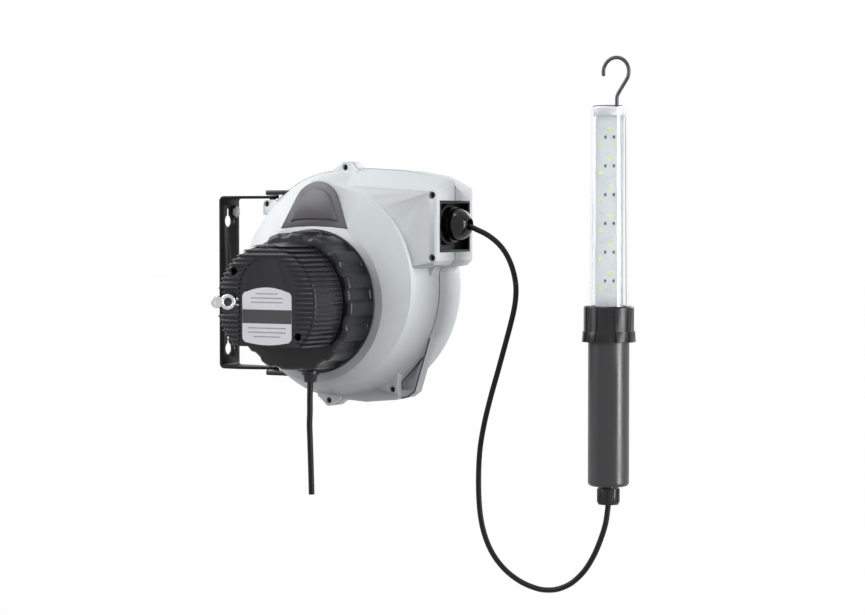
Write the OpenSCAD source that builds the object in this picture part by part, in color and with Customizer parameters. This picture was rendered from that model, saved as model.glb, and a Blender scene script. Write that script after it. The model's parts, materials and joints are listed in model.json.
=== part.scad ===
// Wall-mounted spring-return cable reel with its own safety transformer and an LED hand lamp.
// Origin: middle of the bracket's wall face. +X points away from the wall, towards the cable
// mouth. -Y is the transformer side. +Z is up. All sizes are in millimetres.

/* [Bracket] */
// Clearance between the bracket's arms and the round case
arm_gap = 1; // [0.6:0.1:1.4]
// Width of the flat bar
bar_w = 35; // [30:1:40]
// Thickness of the flat bar
bar_t = 3; // [2.5:0.5:4]
// Outer radius of the bracket's bends
bend_r = 6; // [5:0.5:8]
// Distance of the swivel axis from the wall
pivot_x = 61; // [59:1:62]
// Radius of each arm's rounded end
arm_end_r = 7; // [6.5:0.25:7.25]
// Distance from the wall at which the arms start to taper
taper_x = 28; // [20:1:35]
// Distance between the two keyholes
key_spacing = 144; // [136:1:146]
// Height of the middle between the keyholes
key_mid_z = -3; // [-5:1:-1]
// Sideways place of the keyholes
key_y = -3; // [-5:1:-1]
// Radius of a keyhole's round entry
key_r = 7; // [5.5:0.5:7.5]
// Half width of a keyhole's narrow slot
key_slot_r = 3; // [2.5:0.25:3.5]
// Rise from the entry to the end of the slot
key_rise = 12; // [10:1:13]
// Sideways place of the two plain screw holes
screw_hole_y = 9; // [8:0.5:10]
// Radius of the plain screw holes
screw_hole_r = 2.2; // [1.8:0.1:2.5]
// Height of the hexagonal plug above the upper screw hole
plug_rise = 10.5; // [10:0.5:12]
// Distance across the corners of the hexagonal plug
plug_d = 14; // [12:0.5:15]

/* [Swivel] */
// Radius of the pivot pins
pin_r = 3.5; // [3:0.25:4]
// Radial clearance of every running fit
run_gap = 0.06; // [0.04:0.01:0.1]
// Thickness of the light washer between arm and lug
washer_t = 1.2; // [1:0.1:1.5]
// Thickness of a pivot lug
lug_t = 5; // [4:0.5:6]
// Half width of a pivot lug, and radius of its end
lug_r = 8; // [7:0.5:9]
// Depth of the lug's anchor behind the case wall
lug_anchor = 6; // [5:0.5:7]
// How far a pin stands out under its arm
pin_proud = 1.2; // [0.8:0.2:1.4]

/* [Case] */
// Distance of the case centre from the wall
case_x = 152; // [151:1:154]
// Height of the case centre
case_z = -0.5; // [-1:0.25:0.5]
// Outer radius of the case at the seam
case_r = 125; // [124:0.5:126]
// Wall thickness of the two shells
case_wall = 3; // [2.5:0.25:3]
// Radius of the rim where the front slope starts
rim_r = 108; // [107:0.5:110]
// How far the rim's centre lies towards the mouth
rim_dx = 8; // [7:0.5:9]
// Distance of the rim in front of the seam
rim_y = 44; // [43:0.5:46]
// Distance of the flat front face in front of the seam
face_y = 56; // [55:0.5:58]
// Radius of the flat front face
plateau_r = 87; // [86:0.5:90]
// How far the drum axis lies below the case centre
axis_drop = 17; // [16:0.5:18]
// Height of the tongue's round top above the case centre
tongue_rise = 87; // [85:1:88]
// Radius of the tongue's round top
tongue_r = 28; // [26:1:29]
// Distance of the tongue's top in front of the seam
tongue_y = 45; // [44:0.5:46]
// Depth of the rear shell behind the seam
back_y = 55; // [54:0.5:58]
// Radius of the rounded rear edge
back_round = 13; // [10:0.5:14]
// Radius of the screw bosses on the case edge
boss_r = 6.5; // [6:0.25:7]
// Length of the screw bosses on the front shell
boss_front = 10; // [9:0.5:12]
// Length of the screw bosses on the rear shell
boss_rear = 16; // [14:0.5:18]
// Thickness of the foot at the lower corner
foot_t = 14; // [12:0.5:15]

/* [Screws] */
// Radius of a case screw's shank
screw_r = 1.8; // [1.6:0.1:2]
// Radius of a case screw's head
screw_head_r = 3.2; // [3:0.1:3.4]
// Height of a case screw's head
screw_head_h = 2.4; // [2:0.1:2.6]
// Radial clearance around shanks and heads
screw_gap = 0.2; // [0.1:0.05:0.3]

/* [Mouth] */
// Distance of the mouth's face from the wall
mouth_x = 296; // [294:1:298]
// Height of the cable line above the drum axis
cable_rise = 83; // [82:0.5:84]
// How far the opening's middle lies below the cable line
mouth_drop = 2; // [1.5:0.25:2.5]
// Height of the mouth opening
mouth_h = 55; // [53:1:56]
// Width of the mouth opening
mouth_w = 65; // [64:1:66]
// Half width of the housing around the mouth
housing_y = 40; // [39.5:0.5:41]
// Rise of the housing's top edge above the cable line
housing_top = 41.5; // [41:0.5:43]
// Depth of the housing's bottom edge below the cable line
housing_bottom = 44; // [43.5:0.5:45]
// Wall thickness of the liner inside the mouth
liner_wall = 2.5; // [2:0.25:3]
// Depth of the liner from the mouth inwards
liner_depth = 44; // [43.5:0.5:46]
// Radius of the guide rollers
roller_r = 6; // [5.5:0.25:6.5]
// Radius of the rollers' pins
roller_pin_r = 2; // [1.75:0.25:2.25]
// Depth of the stop plate behind the mouth's face
stop_depth = 10.5; // [10:0.5:11.5]

/* [Cable and stop ball] */
// Diameter of the lamp cable
cable_d = 5.8; // [5.4:0.2:6]
// Radius of the stop ball
ball_r = 17.5; // [17:0.5:18]
// Distance of the ball's centre from the stop plate
ball_reach = 13; // [12:0.5:14]
// Radius of the rubber buffer behind the ball
buffer_r = 22; // [21:0.5:23]
// Thickness of the rubber buffer
buffer_t = 4; // [3:0.5:5]
// Distance from the ball's centre to its cable exit
exit_reach = 16; // [15.5:0.5:17]

/* [Drum] */
// Radius of the drum flanges
flange_r = 95; // [93:0.5:96]
// Thickness of the drum flanges
flange_t = 2.5; // [2:0.25:3]
// Outer radius of the drum hub
hub_r = 56; // [54:0.5:58]
// Wall thickness of the drum hub
hub_wall = 4; // [3.5:0.25:4.5]
// Front face of the drum, in front of the seam
drum_front = 18; // [17:0.5:19]
// Rear face of the drum, behind the seam
drum_rear = 40; // [39:0.5:41]
// Web of the drum, behind the seam
web_y = 8; // [7:0.5:9]
// Thickness of the web
web_t = 3; // [2.5:0.25:4]
// Radius of the fixed centre shaft
shaft_r = 7; // [6.5:0.25:7.5]
// Wall thickness of the plain bushes
bush_wall = 3; // [2.5:0.25:3.25]
// Clearance between the wound cable and the drum
pack_gap = 0.3; // [0.2:0.05:0.4]
// Number of slots around the ratchet ring
ratchet_slots = 12; // [8:4:16]
// Thickness of the ratchet ring
ratchet_t = 3.5; // [3:0.25:3.75]
// Outer radius of the ratchet ring
ratchet_r = 90; // [88:0.5:91]
// Depth of a ratchet slot
ratchet_depth = 7; // [6:0.5:8]

/* [Main spring] */
// Number of turns of the main spring
spring_turns = 9; // [7:1:11]
// Thickness of the spring strip
strip_t = 0.8; // [0.6:0.1:1]
// Width of the spring strip
strip_w = 22; // [20:1:23]
// Radius of the arbor that holds the spring's inner end
arbor_r = 12; // [11:0.5:13]

/* [Transformer] */
// Radius of the base's flange
bell_r = 78; // [77.5:0.5:79]
// Thickness of the base's flange
bell_rim = 2; // [1.5:0.25:3]
// Radius of the base between its pads
bell_front_r = 73; // [72.75:0.25:73.5]
// Distance of the base's flat underside below the drum axis
bell_flat = 72.5; // [72:0.25:72.75]
// Front face of the base, in front of the seam
bell_y = 100; // [99:0.5:102]
// Wall thickness of the base and the cover
bell_wall = 2.5; // [2:0.25:3]
// Number of raised pads around the base
bell_pads = 16; // [14:1:18]
// Radius of the finned cover at its front
cover_front_r = 63; // [62.5:0.25:64]
// Radius of the finned cover at its rear
cover_rear_r = 67; // [66.5:0.25:67.5]
// Front face of the finned cover, in front of the seam
cover_y = 148; // [147:0.5:150]
// Distance of the cover's flat underside below the drum axis
cover_flat = 45; // [44:0.5:46]
// Distance from one fin to the next
fin_pitch = 5; // [4.5:0.25:5.5]
// Thickness of a fin
fin_t = 2.2; // [1.8:0.1:2.6]
// Height of a fin above the cover
fin_h = 1.6; // [1.2:0.1:2]
// Radius of the circle that the cover screws lie on
cover_screw_pcd_r = 52.5; // [52.25:0.25:52.75]
// Width of the transformer core
core_w = 72; // [66:1:72]
// Height of the transformer core
core_h = 60; // [54:1:60]
// Thickness of the transformer core
core_t = 40; // [36:1:42]
// Rear face of the transformer core, in front of the seam
core_y = 86; // [84:1:88]
// Width of the rating label
label_w = 62.5; // [60:0.5:64]
// Height of the rating label
label_h = 53.5; // [51:0.5:54]

/* [Supply cord] */
// Diameter of the supply cord
supply_d = 6.3; // [6:0.1:6.6]
// Sideways place of the supply gland, from the drum axis
gland_dx = 14; // [13:0.5:15]
// Distance of the supply gland in front of the seam
gland_y = 84; // [83:0.5:85]
// Radius of the supply gland's upper ring
gland_r = 9.2; // [8.8:0.2:10]

/* [Lamp] */
// Distance of the lamp's axis from the wall
lamp_x = 479; // [475:1:483]
// Radius of the clear tube at the collar
tube_r = 20.25; // [20:0.25:20.5]
// Radius of the clear tube at its top
tube_top_r = 18.5; // [18.25:0.25:19]
// Wall thickness of the clear tube
tube_wall = 1.75; // [1.5:0.25:2]
// Turn of the LED board about the lamp's axis
lamp_turn = 30; // [0:5:60]
// Height of the clear tube's top
tube_top = 188; // [184:1:192]
// Height of the collar's top
collar_top = -18; // [-20:1:-16]
// Length of the collar
collar_len = 37; // [35:1:39]
// Radius of the collar
collar_r = 26; // [25.5:0.25:26.5]
// Radius of the collar's castellated edge
flare_r = 27.75; // [27:0.25:28.5]
// Radius of the handle
handle_r = 21.3; // [21:0.1:21.5]
// Wall thickness of the handle
handle_wall = 2.5; // [2:0.25:3]
// Height of the handle's lower end
handle_bottom = -204; // [-206:1:-202]
// Radius of the lamp's gland nut
nut_r = 11.7; // [11:0.25:12]
// Length of the lamp's gland nut
nut_len = 17; // [16:0.5:18]
// Width of the LED board
board_w = 28; // [26:0.5:29]
// Thickness of the LED board
board_t = 1.6; // [1.2:0.1:2]
// Distance of the LED board in front of the lamp's axis
board_y = 4; // [3:0.5:5]
// Number of LEDs in the middle row
led_count = 6; // [5:1:6]
// Distance from one middle LED to the next
led_pitch = 29.5; // [28:0.5:30]
// Sideways distance of the outer LEDs from the middle row
led_side = 8.6; // [8:0.1:9.5]
// Edge length of one LED
led_size = 3.4; // [3:0.1:4]

/* [Hook] */
// Radius of the hook's wire
hook_wire_r = 2; // [1.75:0.05:2.25]
// Radius of the hook's bend
hook_bend_r = 14.5; // [14:0.25:15]
// Height of the bend's centre above the tube
hook_rise = 34.5; // [34:0.5:36]
// Sideways place of the hook's stem from the lamp's axis
stem_dx = 8.5; // [7:0.5:9]

/* [Hidden] */
$fn = 64;

// Thickness of the slices that the smooth shells are stretched between
slice = 0.02;
// Extra length that carries a cut past a face
past = 1;
// Clearance of pieces that are pressed or screwed together
seat_gap = 0.05;

// The arms pass the round case at their ends, so the bracket's height follows the case.
arm_inner = round(arm_gap + abs(case_z)
         + sqrt(pow(case_r, 2) - pow(case_x - pivot_x - arm_end_r, 2)));
arm_z = arm_inner + bar_t;
bracket_h = 2 * arm_z;
axis_x = case_x;
axis_z = case_z - axis_drop;
cable_r = cable_d / 2;
cable_z = axis_z + cable_rise;
upper_key_z = key_mid_z + key_spacing / 2;
lower_key_z = key_mid_z - key_spacing / 2;

// -------- shared shapes

// A flat shape drawn in X and Z, made solid from y0 to y1.
module slab(y0, y1) {
  translate([0, y1, 0]) rotate([90, 0, 0]) linear_extrude(y1 - y0) children();
}

// A round bar along Y.
module bar_y(x, z, r, y0, y1) {
  translate([x, y1, z]) rotate([90, 0, 0]) cylinder(r = r, h = y1 - y0);
}

// A round bar along X.
module bar_x(y, z, r, x0, x1) {
  translate([x0, y, z]) rotate([0, 90, 0]) cylinder(r = r, h = x1 - x0);
}

// A cone along Y, from radius r0 at y0 to radius r1 at y1.
module cone_y(x, z, r0, r1, y0, y1) {
  translate([x, y1, z]) rotate([90, 0, 0]) cylinder(r1 = r1, r2 = r0, h = y1 - y0);
}

// A ring around an axis along Y.
module ring_y(x, z, r_in, r_out, y0, y1) {
  difference() {
    bar_y(x, z, r_out, y0, y1);
    bar_y(x, z, r_in, y0 - past, y1 + past);
  }
}

// A box between two corners.
module box(low, high) {
  translate(low) cube(high - low);
}

// Points of a smooth curve through hand-chosen points: between each pair, a cubic that
// leaves and arrives along the line between the neighbours.
function along(p, i, t) =
  let (a = p[max(i - 1, 0)], b = p[i], c = p[i + 1], d = p[min(i + 2, len(p) - 1)])
  b + t * (c - a) / 2 + t * t * (a - 2.5 * b + 2 * c - d / 2)
  + t * t * t * (-a + 3 * b - 3 * c + d) / 2;
function smooth(p, steps) = concat(
  [for (i = [0:len(p) - 2]) for (k = [0:steps - 1]) along(p, i, k / steps)],
  [p[len(p) - 1]]);

// A tube of the given sides swept along a path that lies in a plane of constant Y.
function unit(v) = v / norm(v);
function heading(path, i) =
  unit(path[min(i + 1, len(path) - 1)] - path[max(i - 1, 0)]);
module cord_tube(path, r, sides, start_dir, end_dir) {
  last = len(path) - 1;
  rings = [for (i = [0:last])
    let (d = i == 0 ? start_dir : i == last ? end_dir : heading(path, i),
       side = unit(cross([0, 1, 0], d)))
    for (k = [0:sides - 1])
      path[i] + r * (cos(360 * k / sides) * side + sin(360 * k / sides) * [0, 1, 0])];
  walls = [for (i = [0:last - 1]) for (k = [0:sides - 1])
    let (n = (k + 1) % sides)
    [i * sides + k, (i + 1) * sides + k, (i + 1) * sides + n, i * sides + n]];
  polyhedron(rings, concat(
    walls,
    [[for (k = [0:sides - 1]) k]],
    [[for (k = [sides - 1:-1:0]) last * sides + k]]));
}

// A closed ring of round wire around the Y axis.
module wire_ring(r, wire, steps, sides) {
  rings = [for (i = [0:steps - 1]) for (k = [0:sides - 1])
    let (a = 360 * i / steps, b = 360 * k / sides, out = r + wire * cos(b))
    [out * cos(a), wire * sin(b), out * sin(a)]];
  polyhedron(rings, [for (i = [0:steps - 1]) for (k = [0:sides - 1])
    let (m = (i + 1) % steps, n = (k + 1) % sides)
    [i * sides + k, m * sides + k, m * sides + n, i * sides + n]]);
}

// -------- wall bracket

module bracket_side_2d() {
  reach = pivot_x + arm_end_r + past;
  difference() {
    union() {
      translate([bend_r, -arm_z]) square([reach - bend_r, bracket_h]);
      translate([0, bend_r - arm_z]) square([reach, bracket_h - 2 * bend_r]);
      for (s = [-1, 1]) translate([bend_r, s * (arm_z - bend_r)]) circle(bend_r);
    }
    translate([bend_r, -arm_inner]) square([reach, 2 * arm_inner]);
    translate([bar_t, bend_r - arm_z]) square([reach, bracket_h - 2 * bend_r]);
    for (s = [-1, 1])
      translate([bend_r, s * (arm_z - bend_r)]) circle(bend_r - bar_t);
  }
}

module bracket_top_2d() {
  translate([-past, -bar_w / 2]) square([taper_x + past, bar_w]);
  polygon([[taper_x, -bar_w / 2], [pivot_x, -arm_end_r],
       [pivot_x, arm_end_r], [taper_x, bar_w / 2]]);
  translate([pivot_x, 0]) circle(arm_end_r);
}

module wall_bracket() {
  color("#26262a") difference() {
    intersection() {
      slab(-bar_w, bar_w) bracket_side_2d();
      translate([0, 0, -arm_z - past]) linear_extrude(bracket_h + 2 * past)
        bracket_top_2d();
    }
    for (z = [upper_key_z, lower_key_z]) {
      bar_x(key_y, z, key_r, -past, bar_t + past);
      bar_x(key_y, z + key_rise, key_slot_r, -past, bar_t + past);
      box([-past, key_y - key_slot_r, z], [bar_t + past, key_y + key_slot_r, z + key_rise]);
      bar_x(screw_hole_y, z, screw_hole_r, -past, bar_t + past);
    }
    bar_x(screw_hole_y, upper_key_z + plug_rise, plug_stem_r + seat_gap,
       -past, bar_t + past);
    translate([pivot_x, 0, -arm_z - past])
      cylinder(r = pin_r + run_gap, h = bracket_h + 2 * past);
  }
}

// Snap-in plug: a hexagonal cap on the plate and a short round stem in its hole.
plug_stem_r = 3;
plug_cap_t = 3;
module hole_plug() {
  z = upper_key_z + plug_rise;
  color("#9da2a5") {
    translate([bar_t, screw_hole_y, z]) rotate([0, 90, 0])
      cylinder(d = plug_d, h = plug_cap_t, $fn = 6);
    bar_x(screw_hole_y, z, plug_stem_r, 0, bar_t);
  }
}

// -------- swivel

module pivot_washers() {
  washer_r = lug_r - 1;
  color("#c9cbcc") for (s = [-1, 1])
    translate([pivot_x, 0, s > 0 ? arm_z : -arm_z - washer_t]) difference() {
      cylinder(r = washer_r, h = washer_t);
      translate([0, 0, -past]) cylinder(r = pin_r + run_gap, h = washer_t + 2 * past);
    }
}

lug_low = arm_z + washer_t;
lug_high = lug_low + lug_t;
// The lug's anchor starts where the case wall ends at the lug's top.
anchor_x = case_x - sqrt(pow(case_r - case_wall, 2) - pow(lug_high - case_z, 2)) + 4;

module lug(side) {
  mirror([0, 0, side > 0 ? 0 : 1]) translate([0, 0, lug_low]) difference() {
    union() {
      translate([pivot_x, 0, 0]) cylinder(r = lug_r, h = lug_t);
      translate([pivot_x, -lug_r, 0]) cube([anchor_x + lug_anchor - pivot_x, 2 * lug_r, lug_t]);
      translate([anchor_x, -lug_r, 0]) cube([lug_anchor, 2 * lug_r + 4, lug_t]);
    }
    translate([pivot_x, 0, -past]) cylinder(r = pin_r + seat_gap / 2, h = lug_t + 2 * past);
  }
}

module pivot_lug_upper() color("#2b2b2f") lug(1);
module pivot_lug_lower() color("#2b2b2f") lug(-1);

module pivot_pins() {
  pin_low = arm_inner - pin_proud;
  color("#3a3a3e") for (s = [0, 1]) mirror([0, 0, s]) translate([pivot_x, 0, pin_low])
    cylinder(r = pin_r, h = lug_high - pin_low);
}

// Slots through both shells for the two lugs.
module lug_cuts() {
  for (s = [0, 1]) mirror([0, 0, s])
    box([pivot_x, -lug_r - seat_gap, lug_low - seat_gap],
      [anchor_x + lug_anchor + past, lug_r + seat_gap, lug_high + seat_gap]);
}

// -------- case outlines

// Thin slice with its front face at y.
module slice_at(y) { slab(y, y + slice) children(); }
module disc_at(x, z, r, y) { slice_at(y) translate([x, z]) circle(r, $fn = 72); }

housing_top_z = cable_z + housing_top;
housing_low_z = cable_z - housing_bottom;
case_top_z = case_z + case_r;

mouth_z = cable_z - mouth_drop;

// Outline of the housing around the mouth, with its upper corner raised.
function seam_outline(rise) = [
  [case_x, case_top_z - 0.5], [case_x + 36, case_top_z + 2], [case_x + 83, case_top_z - 1],
  [case_x + 116, case_top_z - 7], [mouth_x - 7, housing_top_z + 4 + rise],
  [mouth_x, housing_top_z + rise], [mouth_x, housing_low_z + 6],
  [mouth_x - 6, housing_low_z], [mouth_x - 22, housing_low_z - 1], [case_x, case_z]];
// How much the front shell stands above the rear shell there, and the rear shell's fall.
seam_rise = 3;
// The outline on the housing's front face.
front_outline = [
  [case_x + rim_dx, case_z + rim_r - 2], [case_x + 40, case_z + rim_r + 2],
  [case_x + 90, case_z + rim_r - 0.5], [mouth_x - 26, housing_top_z - 3],
  [mouth_x - 5, housing_top_z - 3.5], [mouth_x, housing_top_z - 8],
  [mouth_x, housing_low_z + 5.5], [mouth_x - 4, housing_low_z + 1.5],
  [mouth_x - 29, housing_low_z + 1.5], [case_x + rim_dx, case_z]];

fillet_r = 10;
// Hollow corner between the housing's underside and the round case.
module housing_fillet(y0, y1) {
  x = mouth_x - 9.6;
  slab(y0, y1) difference() {
    translate([x - 26, housing_low_z - fillet_r]) square([25.8, fillet_r + 3]);
    translate([x, housing_low_z - fillet_r]) circle(fillet_r);
  }
}

// Screw bosses on the case edge: angle around the case centre, distance from it, radius.
edge_bosses = [[85, 128.5, boss_r], [265.3, 128, boss_r - 0.5], [302.4, 133.3, boss_r - 1.5]];
function boss_at(b) = [case_x + b[1] * cos(b[0]), case_z + b[1] * sin(b[0])];
// Square corner blocks beside the bracket's arms.
corner_x = pivot_x - 6;
corner_z = arm_inner - pin_proud - 0.3;
corner_in = 4.3;
edge_screws = concat([for (b = edge_bosses) boss_at(b)],
  [for (s = [-1, 1]) [corner_x + corner_in, s * (corner_z - corner_in)]]);
mouth_screws = [[mouth_x - 5.5, cable_z + 31], [mouth_x - 5.5, cable_z - 35]];
mouth_boss_r = 4.3;
mouth_well_r = 3.9;
mouth_well = 7;

module edge_boss_blocks(y0, y1) {
  for (b = edge_bosses) {
    p = boss_at(b);
    bar_y(p[0], p[1], b[2], y0, y1);
    // flanks that run into the case on both sides
    slab(y0, y1) translate([case_x, case_z]) rotate(b[0]) polygon([
      [case_r - 9, -b[2] - 9], [case_r - 0.8, -b[2] - 9],
      [b[1] + b[2] / 2, -0.86 * b[2]], [b[1] + b[2] / 2, 0.86 * b[2]],
      [case_r - 0.8, b[2] + 9], [case_r - 9, b[2] + 9]]);
  }
  for (s = [0, 1]) mirror([0, 0, s]) slab(y0, y1) polygon([
    [corner_x, corner_z - 16.5], [corner_x, corner_z - 3.5], [corner_x + 3.5, corner_z],
    [corner_x + 17, corner_z], [corner_x + 25, corner_z - 13]]);
}

// The foot's lower corner.
foot_corner = [case_x + 94, case_z - 115];
foot_outline = [
  [case_x - 4, case_z - case_r], [case_x + 37, case_z - case_r - 2.5],
  [case_x + 70, case_z - 124.5], [case_x + 86, case_z - 120.8], foot_corner, [case_x + 113, case_z - 57],
  [case_x + 90, case_z - 60], [case_x + 40, case_z - 95]];

module foot_pocket_2d() {
  polygon([[case_x + 105, case_z - 77], [case_x + 79, case_z - 104.5],
       [case_x + 79.5, case_z - 113.5], [case_x + 91.5, case_z - 112.5],
       [case_x + 96.5, case_z - 90]]);
}

head_seat_y = -4;
module edge_screw_cuts() {
  for (p = edge_screws) {
    bar_y(p[0], p[1], screw_head_r + screw_gap, -boss_front - past, head_seat_y);
    bar_y(p[0], p[1], screw_r + screw_gap, -boss_front - past, past);
  }
}

// -------- front shell

window_w = 86;
window_gap = 0.3;
window_low = bell_r + 3;
window_tilt = 9.6;
window_top_r = 29;
window_top = 19.7;
window_y = face_y - 1.4;
window_sink = 1.6;

// Corner point where a line from p touches the circle of radius r around q.
function touch(p, q, r, side) =
  let (d = q - p, a = atan2(d[1], d[0]), b = side * asin(r / norm(d)),
     l = sqrt(pow(norm(d), 2) - r * r))
  p + l * [cos(a + b), sin(a + b)];

module window_2d(shrink) {
  top = [0, window_top];
  r = window_top_r - shrink;
  half = window_w / 2 - 1.6 * shrink;
  left = [-half, shrink - 2.7];
  right = [half, shrink - 2.7];
  polygon([left, [-22, shrink - 0.7], [0, shrink], [22, shrink - 0.7], right,
       touch(right, top, r, -1), top, touch(left, top, r, 1)]);
  intersection() {
    translate(top) circle(r);
    translate([-r, top[1]]) square(2 * r);
  }
}

// Places a shape on the sloping plane of the connection cover.
module on_window() {
  translate([axis_x, -window_y, axis_z + window_low])
    rotate([90 - window_tilt, 0, 0]) children();
}

module front_outer() {
  hull() {
    disc_at(case_x, case_z, case_r, -slice);
    disc_at(case_x + rim_dx, case_z, rim_r, -rim_y);
    disc_at(axis_x, axis_z, plateau_r, -face_y);
    disc_at(axis_x, case_z + tongue_rise, tongue_r, -tongue_y);
  }
  hull() {
    slice_at(-slice) polygon(seam_outline(seam_rise));
    slice_at(edge_in - housing_y) polygon(front_outline);
    slice_at(-housing_y) offset(delta = -edge_in) polygon(front_outline);
  }
  housing_fillet(-16, 0);
  edge_boss_blocks(-boss_front, 0);
  slab(2 - boss_front, 0) polygon([
    [case_x - 4, case_z - case_r], [case_x + 37, case_z - case_r - 2.5],
    [case_x + 77, case_z - 123.5], [case_x + 77, case_z - 95], [case_x + 40, case_z - 95]]);
}

module front_cavity() {
  hull() {
    disc_at(case_x, case_z, case_r - case_wall, 0);
    disc_at(case_x + rim_dx, case_z, rim_r - case_wall - 0.6, case_wall - rim_y);
    disc_at(axis_x, axis_z, plateau_r - 3 * case_wall, case_wall - face_y);
  }
  hull() {
    slab(0, 3) offset(delta = -case_wall) polygon(seam_outline(seam_rise));
    slice_at(case_wall - housing_y) offset(delta = -case_wall) polygon(front_outline);
  }
}

module mouth_cut() {
  box([mouth_x - case_wall - past, -mouth_w / 2, mouth_z - mouth_h / 2],
    [mouth_x + past, mouth_w / 2, mouth_z + mouth_h / 2]);
}

inner_face = case_wall - face_y;
shaft_boss_r = shaft_r + 4;
shaft_boss_l = 11;
ledge_z = axis_z + 74;
ledge_t = 4;
ledge_y = -27;
ledge_half = 36;

module front_shell() {
  color("#c9cdd0") difference() {
    union() {
      difference() {
        front_outer();
        front_cavity();
      }
      // column for each mouth screw
      intersection() {
        for (p = mouth_screws) {
          bar_y(p[0], p[1], mouth_boss_r, case_wall - housing_y, 0);
          bar_y(p[0], p[1], mouth_well_r + 1.3, case_wall - housing_y, -liner_y - 0.2);
        }
        front_outer_housing_box();
      }
      // socket for the shaft's front end
      bar_y(axis_x, axis_z, shaft_boss_r, inner_face - past, inner_face + shaft_boss_l);
      // ledge for the terminal block
      box([axis_x - ledge_half, inner_face - past, ledge_z],
        [axis_x + ledge_half, ledge_y, ledge_z + ledge_t]);
    }
    edge_screw_cuts();
    for (p = mouth_screws) {
      bar_y(p[0], p[1], mouth_well_r, -housing_y - 2, -housing_y + mouth_well);
      bar_y(p[0], p[1], screw_r + screw_gap, -housing_y, past);
    }
    bar_y(axis_x, axis_z, shaft_r + seat_gap, inner_face, 0);
    mouth_cut();
    lug_cuts();
    // recess and opening under the connection cover
    on_window() translate([0, 0, -window_sink - 0.1]) linear_extrude(20)
      window_2d(-window_gap);
    on_window() translate([0, 0, -14]) linear_extrude(20) window_2d(5);
    // hole for the leads from the transformer
    bar_y(axis_x, axis_z + 50, 6, -face_y - past, inner_face + past);
  }
}

// Space that the mouth columns may fill in the front shell.
module front_outer_housing_box() {
  box([mouth_x - 30, -housing_y, housing_low_z], [mouth_x, 0, housing_top_z - 1]);
}

module connection_cover() {
  color("#55535b") on_window() difference() {
    translate([0, 0, -window_sink]) {
      linear_extrude(2.4) window_2d(0);
      linear_extrude(4) window_2d(8);
    }
    // hollow behind the cover's rim
    translate([0, 0, -window_sink - past]) linear_extrude(2.4) window_2d(7);
  }
}

// -------- rear shell

module rear_round(inset) {
  r = case_r - inset;
  e = back_round - inset;
  translate([case_x, 0, case_z]) rotate([-90, 0, 0]) rotate_extrude() union() {
    translate([0, inset > 0 ? -past : 0])
      square([r, back_y - back_round + (inset > 0 ? past : 0)]);
    square([r - e, back_y - inset]);
    translate([r - e, back_y - inset - e]) circle(e);
  }
}

// Depth of the bevel around the housing's front and rear faces.
edge_in = 2.5;
module rear_shell() {
  color("#c9cdd0") difference() {
    union() {
      difference() {
        union() {
          rear_round(0);
          hull() {
            slice_at(0) polygon(seam_outline(0));
            slice_at(housing_y - edge_in) polygon(seam_outline(-seam_rise));
            slice_at(housing_y - slice) offset(delta = -edge_in)
              polygon(seam_outline(-seam_rise));
          }
          housing_fillet(0, housing_y - 6);
          edge_boss_blocks(0, boss_rear);
          slab(0, foot_t) polygon(foot_outline);
        }
        rear_round(case_wall);
        hull() {
          slice_at(-slice) offset(delta = -case_wall) polygon(seam_outline(0));
          slice_at(housing_y - edge_in - case_wall)
            offset(delta = -case_wall) polygon(seam_outline(-seam_rise));
          slice_at(housing_y - case_wall - slice)
            offset(delta = -edge_in / 2 - case_wall)
            polygon(seam_outline(-seam_rise));
        }
      }
      for (p = mouth_screws) bar_y(p[0], p[1], mouth_boss_r, 0, housing_y - 1.5);
      // socket for the shaft's rear end
      bar_y(axis_x, axis_z, shaft_boss_r, socket_y, back_y - 1);
      // socket for the pawl's pin
      bar_y(pawl_x, pawl_z, pawl_pin_r + 2.5, pawl_y1 + 0.4, back_y - 1);
      // post for the fixed end of the pawl's spring
      bar_y(spring_post[0], spring_post[1], post_r, pawl_y0, back_y - 1);
    }
    slab(-past, foot_t / 2) foot_pocket_2d();
    for (p = edge_screws) bar_y(p[0], p[1], screw_r + seat_gap, -past, boss_rear - 3);
    for (p = mouth_screws) bar_y(p[0], p[1], screw_r + seat_gap, -past, 18);
    bar_y(axis_x, axis_z, shaft_r + seat_gap, socket_y - past, back_y - case_wall);
    bar_y(pawl_x, pawl_z, pawl_pin_r + seat_gap, pawl_y1, back_y - case_wall);
    mouth_cut();
    lug_cuts();
  }
}

module cross_screw(x, z, seat, tip) {
  difference() {
    union() {
      bar_y(x, z, screw_head_r - 0.1, seat - screw_head_h, seat);
      bar_y(x, z, screw_r, seat, tip);
    }
    for (a = [0, 90]) translate([x, seat - screw_head_h, z]) rotate([0, a, 0])
      cube([3.4, 2, 0.8], center = true);
  }
}

module case_screws() {
  color("#2c2c2e") {
    for (p = edge_screws) cross_screw(p[0], p[1], head_seat_y, boss_rear - 4);
    for (p = mouth_screws) cross_screw(p[0], p[1], mouth_well - housing_y, 17);
  }
}

// -------- transformer housing

// Height of the base's pads, the share of the round that they fill, and the first one's turn
pad_h = 2.7;
pad_fill = 0.56;
pad_turn = 18;
bell_edge = 5;
bell_taper = 1;
module base_opening_2d(r) {
  difference() {
    intersection() {
      circle(r);
      translate([-r, bell_wall - cover_flat]) square([2 * r, 2 * r]);
    }
    for (a = cover_screw_angles) {
      translate(cover_screw_pcd_r * [cos(a), sin(a)]) circle(cover_post_r);
      rotate(a) translate([cover_screw_pcd_r, -cover_post_r])
        square([bell_r, 2 * cover_post_r]);
    }
  }
}
cover_screw_angles = [140, -40];
cover_post_r = 5.2;
cover_screw_seat = 112;

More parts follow.
